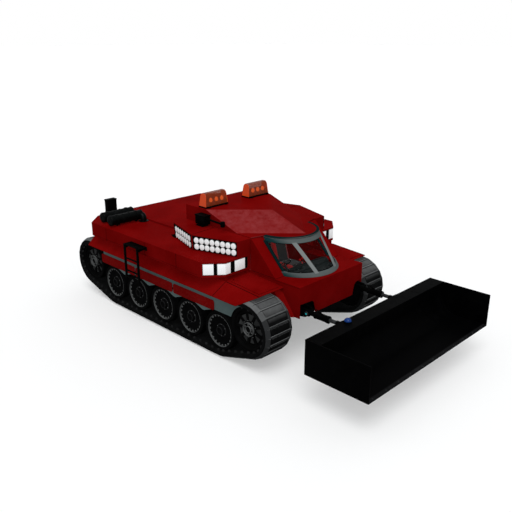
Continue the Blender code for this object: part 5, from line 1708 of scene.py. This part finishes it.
class HullDress:
    """Finishes on the carried-over sheet metal, with seams, lid leaves and screws."""

    def build(self) -> None:
        """Paint the nodes, then add the trim."""
        dress(HULL_RED, "nose_shell", "cab_front", "deck", "upper_block", "engine_cover", "fender_right",
              "fender_left", "fender_lid_right", "fender_lid_left")
        dress(ROOF_RED, "roof")
        dress(FRAME_GREY, "tub")
        dress(PIN_STEEL, "engine")
        dress(CAB_MOULD, "cab_floor")
        dress(TRIM_BLACK, "lift_frame")
        self.seams()
        for tag, body in (("right", Body.LID_RIGHT), ("left", Body.LID_LEFT)):
            self.lid_gear(tag, body)
        self.bolts()

    @staticmethod
    def seams() -> None:
        """Dark joint lines where panels meet."""
        line = Solid(SEAM_DARK)
        for side in (RIGHT, LEFT):
            line.box((0.35, 2.02), on_side(side, 1.064, 1.076), (DECK_Z - 0.002, DECK_Z + 0.0014))
            line.hull([(x + dx, side * y, BLOCK_Z + dz) for x, y in ((2.955, 1.768), (2.905, 1.068))
                       for dx in (0.0, 0.012) for dz in (-0.002, 0.0014)])
            for x in (0.15, 1.75, 2.90):
                line.box((x - 0.004, x + 0.004), on_side(side, 2.188, 2.1914), (1.812, DECK_Z - 0.002))
            line.box((-0.30, 3.60), on_side(side, 2.1885, 2.1912), (1.838, 1.842))
            line.box((4.30, 5.49), on_side(side, 1.0645, 1.0662), (1.740, 1.744))
            line.box((4.10, 4.80), on_side(side, 1.0590, 1.0612), (NOSE_Z + 0.002, NOSE_Z + 0.010))
            line.box((4.809, 4.817), on_side(side, 0.76, 1.05), (NOSE_Z - 0.002, NOSE_Z + 0.0014))
            start = (WALL_X, 1.800, 1.7155)
            for end in ((4.002, 2.130, 1.4625), (5.050, 1.800, 1.6555)):
                across = (Vector(end) - Vector(start)).cross(Vector((0, 0, 1))).normalized() * 0.006
                line.hull([(x + across.x * k, side * (y + across.y * k), z + dz)
                           for x, y, z in (start, end) for k in (-1, 1) for dz in (-0.004, 0.0016)])
            top = 1.7152
            line.hull([(x, side * y, top + dz) for x in (4.098, 4.150) for y in (1.335, 1.625)
                       for dz in (-0.012, 0.0004)])
            leaf = ((4.104, 0.0), (4.104, 0.014), (4.140, 0.010), (4.146, 0.0))
            line.wear(HULL_RED).hull([(x, side * y, top + dz) for x, dz in leaf for y in (1.345, 1.615)])
            line.wear(SEAM_DARK)
        line.piece("panel_seams", Body.HULL, Slot.RED)

    @staticmethod
    def lid_gear(tag: str, body: Body) -> None:
        """Hinge leaves and a latch on a fender's lid."""
        low, high = (Vector(p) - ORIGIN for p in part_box(f"fender_lid_{tag}"))
        slope = (low.z + 0.014 - high.z) / (high.x - low.x)

        part = Solid(HULL_RED)
        for share, ends, half, rise in ((0.2, (low.x + 0.008, low.x + 0.070), 0.035, 0.004),
                                        (0.8, (low.x + 0.008, low.x + 0.070), 0.035, 0.004),
                                        (0.5, (high.x - 0.065, high.x - 0.045), 0.045, 0.006)):
            y = low.y + (high.y - low.y) * share
            part.hull([(x, y + dy, high.z + (x - low.x) * slope + off)
                       for x in ends for dy in (-half, half) for off in (-0.001, rise)])
        part.piece(f"lid_hinges_{tag}", body, Slot.RED)

    @staticmethod
    def bolts() -> None:
        """Screw heads along the seams and edges."""
        spots = []
        for side in (RIGHT, LEFT):
            spots += [Spot((0.30 + 0.11 * k, side * 1.098, DECK_Z), (0, 0, 1)) for k in range(15)]
            spots += [Spot((x, side * 2.190, 1.985), (0, side, 0))
                      for x in (0.08, 0.22, 1.68, 1.82, 2.83, 2.97)]
            spots += [Spot((2.965, side * (1.14 + 0.09 * k), BLOCK_Z), (0, 0, 1)) for k in range(7)]
        repeater.make("hull_screws", hex_bolt(HULL_RED, 0.008, 0.005), spots, Body.HULL, Slot.RED)


@dataclass(frozen=True)
class Sun:
    """One soft far light, its angles in degrees."""
    name: str
    azimuth: float
    elevation: float
    spread: float
    strength: float
    shadow: bool = True


SUNS = (Sun("key", 40.0, 62.0, 35.0, 0.75), Sun("wash", 40.0, 62.0, 35.0, 1.25, shadow=False),
        Sun("fill", 46.0, 20.0, 50.0, 0.62))


class Studio:
    """Floor, world and soft lights."""

    def build(self) -> None:
        """Set up the stage."""
        self.floor()
        self.world()
        for sun in SUNS:
            data = bpy.data.lights.new(sun.name, "SUN")
            data.energy, data.angle, data.use_shadow = sun.strength, math.radians(sun.spread), sun.shadow
            lamp = bpy.data.objects.new(sun.name, data)
            lamp.rotation_euler = (math.radians(90 - sun.elevation), 0.0, math.radians(sun.azimuth))
            bpy.context.scene.collection.objects.link(lamp)
        bpy.context.scene.view_settings.view_transform = "Standard"

    @staticmethod
    def by_ray(tree: bpy.types.NodeTree, seen: bpy.types.NodeSocket, other: bpy.types.NodeSocket,
               out: bpy.types.NodeSocket) -> None:
        """Show one shader to the camera and another to all other rays."""
        path, mix = tree.nodes.new("ShaderNodeLightPath"), tree.nodes.new("ShaderNodeMixShader")
        for a, b in ((path.outputs["Is Camera Ray"], mix.inputs[0]), (other, mix.inputs[1]),
                     (seen, mix.inputs[2]), (mix.outputs[0], out)):
            tree.links.new(a, b)

    def floor(self) -> None:
        """A pale floor: the camera sees it white, with its shadow, and it throws little light back."""
        mesh = bpy.data.meshes.new("floor")
        size = 400.0
        corners = [(a * size, b * size, -0.002) for a, b in ((-1, -1), (1, -1), (1, 1), (-1, 1))]
        mesh.from_pydata(corners, [], [(0, 1, 2, 3)])
        floor = bpy.data.objects.new("floor", mesh)
        material = bpy.data.materials.new("floor")
        material.use_nodes = True
        tree = material.node_tree
        tree.nodes.clear()
        coats = []
        for grey in (0.985, 0.30):
            node = tree.nodes.new("ShaderNodeBsdfDiffuse")
            node.inputs["Color"].default_value = (grey, grey, grey, 1.0)
            coats.append(node.outputs[0])
        self.by_ray(tree, coats[0], coats[1], tree.nodes.new("ShaderNodeOutputMaterial").inputs[0])
        mesh.materials.append(material)
        bpy.context.scene.collection.objects.link(floor)

    def world(self) -> None:
        """Even pale light from all round, and a white ground for the camera."""
        world = bpy.context.scene.world or bpy.data.worlds.new("studio")
        bpy.context.scene.world = world
        world.use_nodes = True
        tree = world.node_tree
        tree.nodes.clear()
        shades = []
        for colour, strength in (((1, 1, 1, 1), 1.0), ((0.97, 0.99, 1.0, 1), 0.42)):
            node = tree.nodes.new("ShaderNodeBackground")
            node.inputs[0].default_value, node.inputs[1].default_value = colour, strength
            shades.append(node.outputs[0])
        self.by_ray(tree, shades[0], shades[1], tree.nodes.new("ShaderNodeOutputWorld").inputs[0])


@dataclass(frozen=True)
class PhotoCamera:
    """The camera at the photograph's viewing angle."""
    place: Point = (9.9895, -9.9505, 6.600)
    azimuth: float = 44.875
    elevation: float = 19.345
    lens: float = 44.2

    def build(self) -> None:
        """Make it the scene's camera."""
        data = bpy.data.cameras.new("photo")
        data.lens, data.sensor_width, data.sensor_fit = self.lens, 36.0, "HORIZONTAL"
        camera = bpy.data.objects.new("photo", data)
        camera.location = self.place
        camera.rotation_euler = (math.radians(90 - self.elevation), 0.0, math.radians(self.azimuth))
        bpy.context.scene.collection.objects.link(camera)
        bpy.context.scene.camera = camera


def main() -> None:
    """Build every sub-assembly, then the stage and the camera."""
    logging.basicConfig(level=logging.INFO, format="%(message)s")
    for group in (RunningGear(), Windscreen(), Lamps(), Cab(), DeckGear(), FrontGear(), HullDress(),
                  Studio(), PhotoCamera()):
        group.build()


if __name__ == "__main__":
    main()
